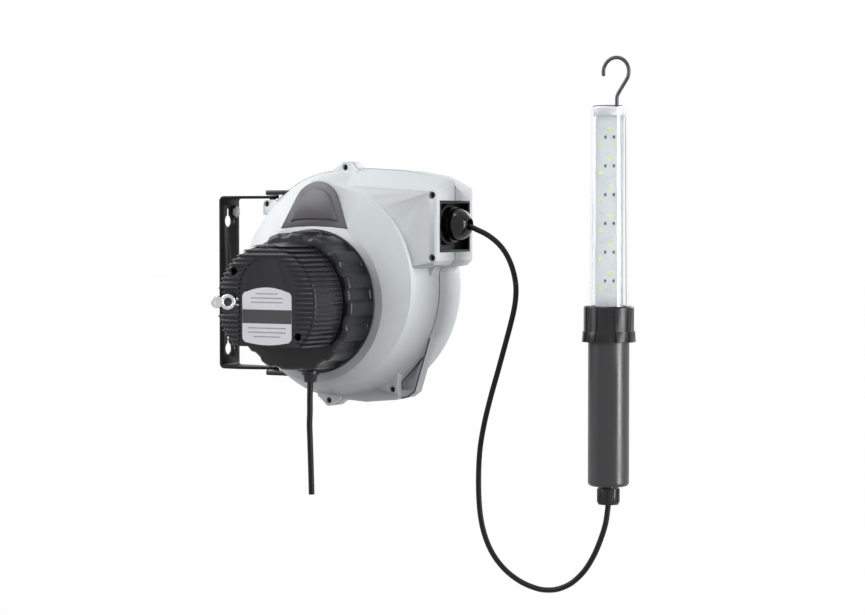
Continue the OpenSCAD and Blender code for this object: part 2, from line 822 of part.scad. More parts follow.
module bell_body(grow) {
  r = bell_front_r + grow;
  translate([axis_x, 0, axis_z]) rotate([90, 0, 0]) rotate_extrude() union() {
    polygon([[0, face_y], [r + bell_taper, face_y], [r, bell_y - bell_edge],
         [r - bell_edge, bell_y - bell_edge], [r - bell_edge, bell_y], [0, bell_y]]);
    translate([r - bell_edge, bell_y - bell_edge]) circle(bell_edge);
  }
}

module transformer_base() {
  pad_half = pad_fill * PI * bell_r / bell_pads;
  color("#2a2a2e") difference() {
    union() {
      bar_y(axis_x, axis_z, bell_r, -face_y - bell_rim, -face_y);
      intersection() {
        union() {
          bell_body(0);
          // raised pads around the side
          intersection() {
            bell_body(pad_h);
            for (i = [0:bell_pads - 1]) translate([axis_x, -bell_y - past, axis_z])
              rotate([0, -pad_turn - i * 360 / bell_pads, 0])
                translate([0, 0, -pad_half])
                  cube([bell_r + 5, bell_y - face_y + past, 2 * pad_half]);
          }
        }
        box([axis_x - bell_r, -bell_y - past, gland_seat_z],
          [axis_x + bell_r, -face_y, axis_z + bell_r]);
      }
      // bulge that carries the supply gland
      translate([gland_x, -gland_y, gland_seat_z])
        cylinder(r = gland_r + 1, h = 20);
    }
    cone_y(axis_x, axis_z, bell_front_r - bell_wall - 0.6, bell_front_r - bell_wall,
        bell_wall - bell_y, -face_y + slice);
    slab(-bell_y - past, -bell_y + bell_wall + past) translate([axis_x, axis_z])
      base_opening_2d(cover_front_r - bell_wall);
    for (a = cover_screw_angles)
      bar_y(axis_x + cover_screw_pcd_r * cos(a), axis_z + cover_screw_pcd_r * sin(a),
         screw_r + seat_gap, -bell_y - past, bell_wall - bell_y + past);
    translate([gland_x, -gland_y, gland_seat_z - past])
      cylinder(r = gland_neck_r + seat_gap, h = 24);
  }
}

module cover_body(grow) {
  edge = 3;
  front = cover_y - fin_h + grow;
  translate([axis_x, 0, axis_z]) rotate([90, 0, 0]) rotate_extrude() union() {
    polygon([[0, bell_y], [cover_rear_r - fin_h + grow, bell_y],
         [cover_front_r - fin_h + grow, front - edge],
         [cover_front_r - fin_h + grow - edge, front - edge],
         [cover_front_r - fin_h + grow - edge, front], [0, front]]);
    translate([cover_front_r - fin_h + grow - edge, front - edge]) circle(edge);
  }
}

module above_flat(drop) {
  box([axis_x - 90, -cover_y - 10, axis_z - drop], [axis_x + 90, -bell_y, axis_z + 90]);
}

label_x = axis_x + 1;
label_z = axis_z - 14;
arch_r = 35;
arch_top = 14;

// Smooth area of the cover's face that carries the label.
module arch_2d() {
  translate([label_x, axis_z + arch_top]) circle(arch_r);
  translate([label_x - arch_r, axis_z - cover_flat - past])
    square([2 * arch_r, cover_flat + arch_top + past]);
}

eye_pocket_x = axis_x - 48;
eye_x = axis_x - 40;
eye_z = axis_z + 1.5;
eye_pocket_r = 13.5;
eye_floor_y = cover_y - fin_h - 8;

module eye_pocket_2d(grow) {
  translate([eye_pocket_x, eye_z]) circle(eye_pocket_r + grow);
  translate([eye_pocket_x - 40, eye_z - eye_pocket_r - grow])
    square([40, 2 * (eye_pocket_r + grow)]);
}

module transformer_cover() {
  fin_top = floor((cover_rear_r - fin_h - fin_t) / fin_pitch);
  fin_low = -floor(cover_flat / fin_pitch);
  color("#2a2a2e") difference() {
    union() {
      difference() {
        intersection() {
          cover_body(0);
          above_flat(cover_flat);
        }
        intersection() {
          cover_body(-bell_wall);
          above_flat(cover_flat - bell_wall);
        }
      }
      // fins: level ribs that stand out all around, and on the face beside the arch
      difference() {
        intersection() {
          cover_body(fin_h);
          union() for (i = [fin_low:fin_top])
            box([axis_x - 80, -cover_y - 5, axis_z + i * fin_pitch],
              [axis_x + 80, -bell_y - 1.5, axis_z + i * fin_pitch + fin_t]);
        }
        cover_body(-bell_wall + 0.01);
        slab(-cover_y - past, -cover_y + fin_h) arch_2d();
      }
      // posts for the cover screws
      intersection() {
        cover_body(0);
        for (a = cover_screw_angles)
          bar_y(axis_x + cover_screw_pcd_r * cos(a),
             axis_z + cover_screw_pcd_r * sin(a), cover_post_r,
             -cover_y, -bell_y);
      }
      // floor and wall of the pocket around the eye
      intersection() {
        cover_body(0);
        slab(-cover_y, 2 - eye_floor_y) eye_pocket_2d(2);
      }
    }
    slab(-cover_y - past, -eye_floor_y) eye_pocket_2d(0);
    for (a = cover_screw_angles) {
      x = axis_x + cover_screw_pcd_r * cos(a);
      z = axis_z + cover_screw_pcd_r * sin(a);
      bar_y(x, z, 4.2, -cover_y - past, -cover_screw_seat);
      bar_y(x, z, screw_r + screw_gap, -cover_y, -bell_y + past);
    }
    bar_y(eye_x, eye_z, eye_shank_r + seat_gap, -cover_y, -eye_floor_y + 2 * past + 2);
  }
}

module cover_screws() {
  color("#2c2c2e") for (a = cover_screw_angles)
    cross_screw(axis_x + cover_screw_pcd_r * cos(a), axis_z + cover_screw_pcd_r * sin(a),
          -cover_screw_seat, 1 - bell_y + bell_wall + 1);
}

label_t = 0.3;
label_corner = 6;
label_top_bulge = 4.5;
label_low_bulge = 2.5;
module rating_label() {
  y = -(cover_y - fin_h);
  half = label_w / 2 - label_corner;
  low = label_h / 2 - label_corner;
  function side(rise) = concat(
    [for (a = [0:22.5:70]) [half, low] + label_corner * [cos(a), sin(a)]],
    [for (k = [3:-1:-3]) [half * k / 3, label_h / 2 + rise * (1 - k * k / 9)]],
    [for (a = [112.5:22.5:180]) [-half, low] + label_corner * [cos(a), sin(a)]]);
  color("#e4e3ec") slab(y - label_t, y) translate([label_x, label_z])
    polygon(concat(side(label_top_bulge), [for (p = side(label_low_bulge)) -p]));
}

eye_shank_r = 2.5;
eye_wire_r = 2.3;
eye_ring_r = 6.3;
eye_knob_r = 6.7;
eye_turn = 35;

// Screwed eye for a safety cord: shank, ring and a round knob on the ring's far side.
module safety_eye() {
  ring_y0 = -(eye_floor_y + 9);
  color("#b9bdbd") {
    bar_y(eye_x, eye_z, eye_shank_r, ring_y0 + 0.6, 3 - eye_floor_y);
    bar_y(eye_x, eye_z, eye_shank_r + 2, -eye_floor_y - 2, -eye_floor_y);
    translate([eye_x, ring_y0, eye_z]) rotate([0, 0, eye_turn]) {
      translate([-eye_ring_r, 0, 0]) wire_ring(eye_ring_r, eye_wire_r, 24, 8);
      translate([1.3 - 2 * eye_ring_r - eye_knob_r, 0, 0]) rotate([90, 0, 0]) {
        cylinder(r = eye_knob_r, h = 4, center = true, $fn = 24);
        cylinder(r = eye_knob_r - 1, h = 6, center = true, $fn = 24);
      }
    }
  }
}

// -------- transformer

leg = core_w / 6;
yoke = core_h / 5;
coil_gap = 0.5;

module transformer_core() {
  color("#6b6d70") difference() {
    box([axis_x - core_w / 2, -core_y - core_t, axis_z - core_h / 2],
      [axis_x + core_w / 2, -core_y, axis_z + core_h / 2]);
    for (s = [-1, 1])
      box([axis_x + (s > 0 ? leg : -2 * leg), -core_y - core_t - past,
         axis_z - core_h / 2 + yoke],
        [axis_x + (s > 0 ? 2 * leg : -leg), -core_y + past,
         axis_z + core_h / 2 - yoke]);
  }
}

module transformer_coil() {
  high = core_h / 2 - yoke - coil_gap;
  build = leg - 2 * coil_gap;
  color("#a5622e") difference() {
    box([axis_x - 2 * leg + coil_gap, -core_y - core_t - build, axis_z - high],
      [axis_x + 2 * leg - coil_gap, -core_y + build, axis_z + high]);
    box([axis_x - leg - seat_gap, -core_y - core_t - seat_gap, axis_z - high - past],
      [axis_x + leg + seat_gap, -core_y + seat_gap, axis_z + high + past]);
  }
}

module transformer_frame() {
  strap = 1.5;
  half = 10;
  color("#9a9da0") for (s = [0, 1]) translate([axis_x, 0, axis_z]) mirror([s, 0, 0]) {
    box([core_w / 2, -core_y - core_t, -half], [core_w / 2 + strap, -face_y, half]);
    box([core_w / 2, -face_y - strap, -half], [core_w / 2 + 12, -face_y, half]);
  }
}

// -------- supply gland and cord

gland_seat_z = axis_z - bell_flat;
gland_neck_r = 6;
gland_bore_r = supply_d / 2 + seat_gap;
gland_x = axis_x + gland_dx;
gland_low_z = gland_seat_z - 12.7;

module supply_gland() {
  color("#232326") translate([gland_x, -gland_y, 0]) difference() {
    union() {
      translate([0, 0, gland_seat_z]) cylinder(r = gland_neck_r, h = 12);
      translate([0, 0, gland_seat_z - 5]) cylinder(r = gland_r, h = 5);
      translate([0, 0, gland_low_z]) cylinder(r1 = gland_r - 2.7, r2 = gland_r - 1.4, h = 7.7);
    }
    translate([0, 0, gland_low_z + 2]) cylinder(r = gland_bore_r, h = 30);
  }
}

// Route of the supply cord: straight down out of its gland to a plain cut end.
supply_points = [
  [gland_x, -gland_y, gland_low_z], [gland_x - 0.5, -gland_y, -120],
  [gland_x - 0.5, -gland_y, -134], [gland_x - 1, -gland_y, -148],
  [gland_x - 0.5, -gland_y, -162], [gland_x, -gland_y, -176],
  [gland_x + 0.5, -gland_y, -190], [gland_x + 1, -gland_y, -206],
  [gland_x + 1.5, -gland_y, -223]];
module supply_cord() {
  color("#242424")
    cord_tube(supply_points, supply_d / 2, 10, [0, 0, -1], [0, 0, -1]);
}

// -------- connections inside the case

module terminal_block() {
  block_z = ledge_z + ledge_t;
  color("#e6e2d6") difference() {
    box([axis_x - 24, inner_face + 8, block_z], [axis_x + 24, ledge_y - 2, block_z + 12]);
    for (i = [-1.5:1:1.5])
      translate([axis_x + i * 12, inner_face + 15, block_z + 6])
        cylinder(r = 2.4, h = 10);
  }
}

brush_radii = [25, 37];
holder_half = 7;
holder_front_y = -22;
brush_w = 5;
brush_h = 6;
spring_seat_y = -46;
ring_face_y = -13.5;

module brush_holder() {
  color("#7a3f2a") difference() {
    box([axis_x + 18, inner_face, axis_z - holder_half],
      [axis_x + 44, holder_front_y, axis_z + holder_half]);
    for (r = brush_radii)
      box([axis_x + r - brush_w / 2 - seat_gap, spring_seat_y,
         axis_z - brush_h / 2 - seat_gap],
        [axis_x + r + brush_w / 2 + seat_gap, holder_front_y + past,
         axis_z + brush_h / 2 + seat_gap]);
  }
}

brush_back_y = -30;
module carbon_brushes() {
  color("#3b3b3d") for (r = brush_radii)
    box([axis_x + r - brush_w / 2, brush_back_y, axis_z - brush_h / 2],
      [axis_x + r + brush_w / 2, ring_face_y - seat_gap, axis_z + brush_h / 2]);
}

module brush_springs() {
  color("#b8bcbe") for (r = brush_radii)
    coil_y(axis_x + r, axis_z, 1.8, 0.35, spring_seat_y + 0.15, brush_back_y - 0.15, 6);
}

// A coil spring around an axis along Y, as a six-sided wire.
module coil_y(x, z, r, wire, y0, y1, turns) {
  sides = 6;
  n = turns * 12;
  points = [for (i = [0:n]) for (k = [0:sides - 1])
    let (a = i * 30, b = 360 * k / sides, q = r + wire * cos(b),
       y = y0 + wire + (y1 - y0 - 2 * wire) * i / n + wire * sin(b))
    [x + q * cos(a), y, z + q * sin(a)]];
  walls = [for (i = [0:n - 1]) for (k = [0:sides - 1])
    let (m = (k + 1) % sides)
    [i * sides + k, (i + 1) * sides + k, (i + 1) * sides + m, i * sides + m]];
  polyhedron(points, concat(
    walls,
    [[for (k = [0:sides - 1]) k]],
    [[for (k = [sides - 1:-1:0]) n * sides + k]]));
}

lead_r = 1.2;
lead_y = -45;
module inner_leads() {
  color("#3f5fa8") for (x = [axis_x + 22, axis_x + 32])
    translate([x, lead_y, axis_z + holder_half])
      cylinder(r = lead_r, h = ledge_z - axis_z - holder_half);
}

// -------- shaft

clip_t = 0.8;
clip_groove_r = shaft_r - 1;
socket_y = back_y - case_wall - 8;
rear_clip_y = socket_y - clip_t - 0.1;
arbor_front = web_y + web_t + 0.8;
arbor_rear = drum_rear - flange_t - 0.6;

module centre_shaft() {
  color("#8e9194") difference() {
    union() {
      bar_y(axis_x, axis_z, shaft_r, inner_face + 0.1, back_y - case_wall - 0.1);
      // arbor for the spring's inner end
      bar_y(axis_x, axis_z, arbor_r, arbor_front, arbor_rear);
    }
    for (y = [front_clip_y, rear_clip_y])
      ring_y(axis_x, axis_z, clip_groove_r, shaft_r + past, y - seat_gap,
          y + clip_t + seat_gap);
    // notch that catches the bent end of the spring
    box([axis_x - 0.8, arbor_front - past, axis_z + arbor_r - 3],
      [axis_x + 0.8, arbor_rear + past, axis_z + arbor_r + past]);
  }
}

module shaft_clips() {
  color("#a9adb0") for (y = [front_clip_y, rear_clip_y]) difference() {
    ring_y(axis_x, axis_z, clip_groove_r + seat_gap, shaft_r + 2.5, y, y + clip_t);
    box([axis_x - 2.5, y - past, axis_z - 20], [axis_x + 2.5, y + clip_t + past, axis_z]);
  }
}

// -------- drum

sleeve_r = shaft_r + bush_wall + 4;
bush_r = shaft_r + bush_wall;
sleeve_front = -8;
hub_in = hub_r - hub_wall;
drum_screw_r = 46;
cover_seat_r = hub_in + 2.2;
drum_screw_angles = [45:90:315];

module drum_front_half() {
  color("#4b4e52") difference() {
    union() {
      ring_y(axis_x, axis_z, hub_in, flange_r, -drum_front, flange_t - drum_front);
      ring_y(axis_x, axis_z, hub_in, hub_r, -drum_front, web_y);
      // inner ring for the screws that join the halves
      ring_y(axis_x, axis_z, 40, hub_in + 1, web_y - 4, web_y);
    }
    for (a = drum_screw_angles)
      bar_y(axis_x + drum_screw_r * cos(a), axis_z + drum_screw_r * sin(a),
         screw_r + screw_gap, web_y - 4 - past, web_y + past);
  }
}

module drum_rear_half() {
  color("#4b4e52") difference() {
    union() {
      bar_y(axis_x, axis_z, hub_r, web_y, drum_rear - flange_t);
      ring_y(axis_x, axis_z, cover_seat_r + seat_gap, flange_r,
          drum_rear - flange_t, drum_rear);
      bar_y(axis_x, axis_z, sleeve_r, sleeve_front, web_y + 1);
    }
    bar_y(axis_x, axis_z, hub_in, web_y + web_t, drum_rear + past);
    bar_y(axis_x, axis_z, bush_r + seat_gap, sleeve_front - past, web_y + web_t + past);
    for (a = drum_screw_angles)
      bar_y(axis_x + drum_screw_r * cos(a), axis_z + drum_screw_r * sin(a),
         screw_r + seat_gap, web_y - past, web_y + web_t + past);
    // slot that catches the spring's outer end
    box([axis_x + hub_in - 1, web_y + web_t, axis_z - 1.2],
      [axis_x + hub_r + past, web_y + web_t + strip_w + 3, axis_z + 1.2]);
  }
}

module drum_screws() {
  color("#2c2c2e") for (a = drum_screw_angles)
    cross_screw(axis_x + drum_screw_r * cos(a), axis_z + drum_screw_r * sin(a),
          web_y - 4, web_y + web_t);
}

front_bush_y0 = -12.6;
front_clip_y = front_bush_y0 - clip_t - 0.1;
module drum_bushes() {
  color("#b58a4a") {
    ring_y(axis_x, axis_z, shaft_r + run_gap, bush_r, front_bush_y0, -2);
    ring_y(axis_x, axis_z, shaft_r + run_gap, bush_r, drum_rear - flange_t,
        drum_rear + 3);
  }
}

pack_r = cable_rise - cable_r - 0.3;
module wound_cable() {
  color("#242424")
    ring_y(axis_x, axis_z, hub_r + pack_gap, pack_r, flange_t - drum_front + pack_gap,
        drum_rear - flange_t - pack_gap);
}

disc_t = 4;
module slip_ring_disc() {
  color("#c7b58f")
    ring_y(axis_x, axis_z, bush_r + 0.2, 46, sleeve_front - disc_t, sleeve_front);
}

ring_half = 3.2;
module slip_rings() {
  color("#c08a3e") for (r = brush_radii)
    ring_y(axis_x, axis_z, r - ring_half, r + ring_half, ring_face_y,
        sleeve_front - disc_t);
}

module spring_cover() {
  color("#9a9da0") {
    ring_y(axis_x, axis_z, bush_r + seat_gap, cover_seat_r, drum_rear - flange_t, drum_rear);
    ring_y(axis_x, axis_z, bush_r + seat_gap, bush_r + 3.5, drum_rear - seat_gap,
        drum_rear + 3);
  }
}

// The main spring: a strip wound in an even spiral from the arbor to the hub wall.
spiral_steps = 20;
spring_in = arbor_r + 0.3 + strip_t / 2;
spring_out = hub_in - 0.3 - strip_t / 2;
function spiral(k, side) =
  let (n = spring_turns * spiral_steps, a = 360 * k / spiral_steps,
     r = spring_in + (spring_out - spring_in) * k / n + side * strip_t / 2)
  [axis_x + r * cos(a), axis_z + r * sin(a)];
module main_spring() {
  n = spring_turns * spiral_steps;
  y0 = web_y + web_t + 1;
  color("#5f6c7c") slab(y0, y0 + strip_w) polygon(concat(
    [for (k = [0:n]) spiral(k, 1)], [for (k = [n:-1:0]) spiral(k, -1)]));
}

// -------- ratchet

slot_w = 9;
module ratchet_ring() {
  color("#8e9194") difference() {
    ring_y(axis_x, axis_z, cover_seat_r + 6, ratchet_r, drum_rear, drum_rear + ratchet_t);
    for (i = [0:ratchet_slots - 1])
      translate([axis_x, drum_rear, axis_z])
        rotate([0, i * 360 / ratchet_slots - pawl_angle, 0])
          translate([ratchet_r - ratchet_depth, -past, -slot_w / 2])
            cube([ratchet_depth + past, ratchet_t + 2 * past, slot_w]);
  }
}

pawl_pin_r = 2.5;
pawl_angle = 150;
pawl_turn = 20;
pawl_pin_dist = ratchet_r + 15;
pawl_x = axis_x + pawl_pin_dist * cos(pawl_angle + pawl_turn);
pawl_z = axis_z + pawl_pin_dist * sin(pawl_angle + pawl_turn);
pawl_y0 = drum_rear + 0.3;
pawl_y1 = drum_rear + ratchet_t - 0.3;
pawl_root = [axis_x + (ratchet_r + 11) * cos(pawl_angle),
       axis_z + (ratchet_r + 11) * sin(pawl_angle)];
pawl_dir = atan2(pawl_root[1] - pawl_z, pawl_root[0] - pawl_x);
pawl_len = norm(pawl_root - [pawl_x, pawl_z]);
pawl_hub_r = 5;
tooth_half = 2;
tooth_clear = 1.5;
leaf_t = 0.6;
leaf_side = pawl_hub_r + 0.4;
post_r = 2.5;
post_ring_r = post_r + seat_gap + 0.7;
// Middle of the post that holds the pawl's spring.
spring_post = [pawl_x, pawl_z] + leaf_side * [-sin(pawl_dir), cos(pawl_dir)]
  + post_ring_r * [-sin(pawl_dir), cos(pawl_dir)] - 2 * [cos(pawl_dir), sin(pawl_dir)];

module pawl_pin() {
  color("#8e9194") {
    bar_y(pawl_x, pawl_z, pawl_pin_r, pawl_y0 - 0.2, back_y - case_wall - 0.1);
    bar_y(pawl_x, pawl_z, pawl_pin_r + 1.3, pawl_y0 - 1.4, pawl_y0 - 0.1);
  }
}

module pawl() {
  color("#b9bdbd") slab(pawl_y0, pawl_y1) difference() {
    union() {
      translate([pawl_x, pawl_z]) rotate(pawl_dir) {
        circle(pawl_hub_r);
        translate([0, -3]) square([pawl_len, pawl_hub_r + 3 - 0.2]);
      }
      translate([axis_x, axis_z]) rotate(pawl_angle)
        translate([ratchet_r + tooth_clear, -tooth_half])
          square([10, 2 * tooth_half]);
    }
    translate([pawl_x, pawl_z]) circle(pawl_pin_r + run_gap);
  }
}

// Leaf spring: an eye around its post and a straight strip along the pawl's back.
module pawl_spring() {
  y = (pawl_y0 + pawl_y1) / 2;
  color("#b8bcbe") slab(y - 1, y + 1) {
    difference() {
      translate(spring_post) circle(post_ring_r);
      translate(spring_post) circle(post_r + seat_gap);
    }
    translate([pawl_x, pawl_z]) rotate(pawl_dir)
      translate([-2, leaf_side]) square([pawl_len - 4, leaf_t]);
  }
}

// -------- mouth

liner_y = mouth_w / 2 - 0.2;
liner_h = mouth_h / 2 - 0.2;
liner_back = mouth_x - liner_depth;
liner_catch = 1.2;
stop_x = mouth_x - stop_depth;
cable_hole_r = cable_r + 1.2;
roller_gap = 0.5;
level_x = liner_back + liner_wall + roller_gap + roller_r;
upright_x = level_x + 2 * roller_r + roller_gap;
lower_roller_z = cable_z - cable_r - 0.3 - roller_r;
upper_roller_z = cable_z + cable_r + 1.5 + roller_r;
side_roller_y = cable_r + 1.5 + roller_r;
roller_half = 29;

module mouth_frame() {
  color("#1d1d20") difference() {
    union() {
      box([liner_back, -liner_y, mouth_z - liner_h], [mouth_x, liner_y, mouth_z + liner_h]);
      // flange that catches behind the shells
      box([mouth_x - case_wall - 4, 3 - liner_y, mouth_z - liner_h - liner_catch],
        [mouth_x - case_wall - seat_gap, liner_y - 3, mouth_z + liner_h + liner_catch]);
    }
    // hollow in front of the stop plate
    box([stop_x, liner_wall - liner_y, mouth_z - liner_h + liner_wall],
      [mouth_x + past, liner_y - liner_wall, mouth_z + liner_h - liner_wall]);
    // hollow for the rollers
    box([liner_back + liner_wall, liner_wall - liner_y, mouth_z - liner_h + liner_wall],
      [stop_x - liner_wall, liner_y - liner_wall, mouth_z + liner_h - liner_wall]);
    bar_x(0, cable_z, cable_hole_r + 3, liner_back - past, liner_back + liner_wall + past);
    bar_x(0, cable_z, cable_hole_r, stop_x - liner_wall - past, stop_x + past);
    for (z = [lower_roller_z, upper_roller_z])
      bar_y(level_x, z, roller_pin_r + seat_gap, -liner_y - past, liner_y + past);
    for (y = [-side_roller_y, side_roller_y])
      translate([upright_x, y, mouth_z - liner_h - past])
        cylinder(r = roller_pin_r + seat_gap, h = 2 * (liner_h + past));
  }
}

module roller_pins() {
  color("#a9adb0") {
    for (z = [lower_roller_z, upper_roller_z])
      bar_y(level_x, z, roller_pin_r, 0.3 - liner_y, liner_y - 0.3);
    for (y = [-side_roller_y, side_roller_y])
      translate([upright_x, y, mouth_z - liner_h + 0.3])
        cylinder(r = roller_pin_r, h = 2 * (liner_h - 0.3));
  }
}

module level_roller(z) {
  color("#d8d9da") ring_y(level_x, z, roller_pin_r + run_gap, roller_r, -roller_half, roller_half);
}
module upright_roller(y) {
  half = liner_h - liner_wall - 0.5;
  color("#d8d9da") translate([upright_x, y, mouth_z - half]) difference() {
    cylinder(r = roller_r, h = 2 * half);
    translate([0, 0, -past]) cylinder(r = roller_pin_r + run_gap, h = 2 * (half + past));
  }
}
module roller_upper() level_roller(upper_roller_z);
module roller_lower() level_roller(lower_roller_z);
module roller_front() upright_roller(-side_roller_y);
module roller_rear() upright_roller(side_roller_y);

// -------- cable, buffer and stop ball

ball_x = stop_x + ball_reach;
exit_x = ball_x + exit_reach;
ball_bore_r = cable_r + seat_gap;
buffer_front = stop_x + buffer_t;
skirt_len = 6.5;
// Where the cable's straight run ends inside the ball, and its bore starts to flare
cord_start_x = ball_x + 3;

module cable_run() {
  color("#242424") bar_x(0, cable_z, cable_r, axis_x, cord_start_x);
}

module stop_buffer() {
  color("#1b1b1d") difference() {
    translate([stop_x, 0, cable_z]) rotate([0, 90, 0]) rotate_extrude() union() {
      square([buffer_r - 1.5, buffer_t]);
      translate([0, 1.5]) square([buffer_r, buffer_t - 3]);
      translate([buffer_r - 1.5, 1.5]) circle(1.5);
      translate([buffer_r - 1.5, buffer_t - 1.5]) circle(1.5);
    }
    bar_x(0, cable_z, ball_bore_r, stop_x - past, buffer_front + past);
  }
}

module whole_ball() {
  skirt_r = ball_r + 1.5;
  difference() {
    translate([ball_x, 0, cable_z]) rotate([0, 90, 0]) rotate_extrude() difference() {
      union() {
        circle(ball_r);
        translate([0, buffer_front - ball_x]) square([skirt_r, skirt_len]);
      }
      translate([-60, -60]) square([60, 120]);
      translate([0, buffer_front - ball_x - 60]) square([60, 60]);
      translate([0, exit_reach]) square([60, 60]);
    }
    bar_x(0, cable_z, ball_bore_r, stop_x, cord_start_x);
    translate([cord_start_x - slice, 0, cable_z]) rotate([0, 90, 0])
      cylinder(r1 = ball_bore_r + 0.4, r2 = ball_bore_r + 3.4, h = exit_reach - 3 + slice + 0.1);
  }
}

ball_screw_z = [cable_z + 10, cable_z - 10];
ball_screw_x = ball_x - 3;
module stop_ball_front() {
  color("#1d1d20") difference() {
    whole_ball();
    box([stop_x, 0, cable_z - 40], [exit_x + past, 40, cable_z + 40]);
    for (z = ball_screw_z) {
      bar_y(ball_screw_x, z, screw_head_r, -40, -8);
      bar_y(ball_screw_x, z, screw_r + screw_gap, -40, past);
    }
  }
}
module stop_ball_rear() {
  color("#1d1d20") difference() {
    whole_ball();
    box([stop_x, -40, cable_z - 40], [exit_x + past, 0, cable_z + 40]);
    for (z = ball_screw_z) bar_y(ball_screw_x, z, screw_r + seat_gap, -past, 8);
  }
}
module stop_ball_screws() {
  color("#5b5d60") for (z = ball_screw_z) cross_screw(ball_screw_x, z, -8, 7);
}

// Route of the free lamp cord, from the stop ball down, round and up into the lamp.
cord_low_z = handle_bottom - 2 - nut_len;
cord_points = [
  [cord_start_x, 0, cable_z], [cord_start_x + 5, 0, cable_z - 0.4],
  [exit_x - 2, 0, cable_z - 1.6], [exit_x + 4, 0, cable_z - 3.6], [325, 0, 59.2],
  [332, 0, 56.4], [339.5, 0, 52.3], [347, 0, 47], [354, 0, 40.2], [360.5, 0, 31],
  [366, 0, 19], [369.5, 0, 5],
  [370, 0, -8], [368, 0, -23], [363, 0, -42], [358.5, 0, -57], [349, 0, -88],
  [339, 0, -120], [331.5, 0, -148], [326.5, 0, -176], [325, 0, -208], [326.5, 0, -238],
  [331.5, 0, -262], [341.5, 0, -283], [356.5, 0, -299.5], [375, 0, -311], [394, 0, -317],
  [408, 0, -318], [422, 0, -315.5], [437, 0, -308], [451, 0, -295], [462, 0, -278.5],
  [470, 0, -261], [476, 0, -243], [lamp_x, 0, cord_low_z]];
module lamp_cord() {
  color("#242424")
    cord_tube(smooth(cord_points, 2), cable_r, 10, [1, 0, 0], [0, 0, 1]);
}

// -------- lamp

neck_r = 21.8;
neck_top = collar_top - 14;
collar_bottom = collar_top - collar_len;
lip_low = collar_top - 10.8;
spigot_r = 8;
lamp_bore_r = cable_r + 0.3;

module lamp_gland_nut() {
  low = cord_low_z;
  color("#26262a") translate([lamp_x, 0, low]) difference() {
    union() {
      cylinder(r = nut_r - 0.8, h = nut_len);
      cylinder(r1 = nut_r - 2, r2 = nut_r - 0.8, h = 2);
      for (a = [0:30:330]) rotate(a) translate([nut_r - 1.6, -1, 2])
        cube([1.6, 2, nut_len - 3]);
    }
    translate([0, 0, 2]) cylinder(r = lamp_bore_r, h = nut_len);
    translate([0, 0, 5]) cylinder(r = spigot_r + seat_gap, h = nut_len);
  }
}

module lamp_handle() {
  edge = 4;
  length = collar_bottom - handle_bottom;
  color("#47474c") translate([lamp_x, 0, handle_bottom]) difference() {
    union() {
      rotate_extrude() union() {
        square([handle_r - edge, length]);
        translate([0, edge]) square([handle_r, length - edge]);
        translate([handle_r - edge, edge]) circle(edge);
      }
      cylinder(r = neck_r, h = neck_top - handle_bottom);
      translate([0, 0, -2 - nut_len + 6]) cylinder(r = spigot_r, h = nut_len);
    }
    translate([0, 0, handle_wall])
      cylinder(r = handle_r - handle_wall, h = neck_top - handle_bottom - 2 * handle_wall);
    translate([0, 0, -nut_len - past]) cylinder(r = lamp_bore_r, h = nut_len + 10);
    // slot that the LED board stands in
    rotate(lamp_turn) translate([-board_w / 2 - seat_gap, -board_y - board_t - seat_gap,
          neck_top - handle_bottom - handle_wall - past])
      cube([board_w + 2 * seat_gap, board_t + 2 * seat_gap, handle_wall + 2 * past]);
    // neck is trimmed to its own height below the collar
    difference() {
      translate([0, 0, -past]) cylinder(r = neck_r + past, h = length + past);
      translate([0, 0, -2 * past]) cylinder(r = handle_r, h = length + 4 * past);
    }
  }
}

module lamp_collar() {
  crest = 11;
  color("#2a2a2e") translate([lamp_x, 0, collar_bottom]) difference() {
    union() {
      cylinder(r = collar_r, h = collar_len - 1.5);
      translate([0, 0, collar_len - 1.5])
        cylinder(r1 = collar_r, r2 = collar_r - 1.2, h = 1.5);
      // castellated edge
      intersection() {
        cylinder(r1 = flare_r, r2 = flare_r - 0.7, h = crest);
        for (a = [0:36:324]) rotate(a) translate([0, -5.5, 0])
          cube([flare_r + 2, 11, crest]);
      }
    }
    translate([0, 0, -past])
      cylinder(r = neck_r + seat_gap, h = lip_low - collar_bottom + past);
    cylinder(r = tube_r + 0.15, h = collar_len + past);
    // grip grooves
    for (a = [18:36:342]) rotate(a) translate([collar_r - 0.8, -1.2, crest])
      cube([3, 2.4, collar_len]);
  }
}

// Half of the tube's section, drawn as radius and height.
module tube_2d(inset, top) {
  edge = 3 - inset;
  low = inset > 0 ? neck_top - past : neck_top;
  r_high = tube_top_r - inset;
  polygon([[0, low], [tube_r - inset, low], [r_high, top - edge],
       [r_high - edge, top - edge], [r_high - edge, top], [0, top]]);
  translate([r_high - edge, top - edge]) circle(edge);
}

module lamp_tube() {
  color("#dfe6ea", 0.5) translate([lamp_x, 0, 0]) difference() {
    union() {
      translate([0, 0, neck_top])
        cylinder(r = neck_r - 0.2, h = lip_low - neck_top - seat_gap);
      rotate_extrude() tube_2d(0, tube_top);
    }
    rotate_extrude() tube_2d(tube_wall, tube_top - tube_wall);
    translate([stem_dx, 0, tube_top - 10]) cylinder(r = hook_wire_r + run_gap, h = 20);
  }
}

cap_low = tube_top - tube_wall - 9;
module lamp_end_cap() {
  high = tube_top - tube_wall - seat_gap;
  color("#dfe2e4") translate([lamp_x, 0, 0]) difference() {
    union() {
      translate([0, 0, cap_low])
        cylinder(r = tube_top_r - tube_wall - 0.1, h = high - cap_low - 1.2);
      translate([0, 0, cap_low]) cylinder(r = tube_top_r - tube_wall - 1.4, h = high - cap_low);
    }
    translate([stem_dx, 0, cap_low - past]) cylinder(r = hook_wire_r + run_gap, h = 30);
    translate([stem_dx, 0, cap_low - past]) cylinder(r = hook_wire_r + 2, h = 4 + past);
  }
}

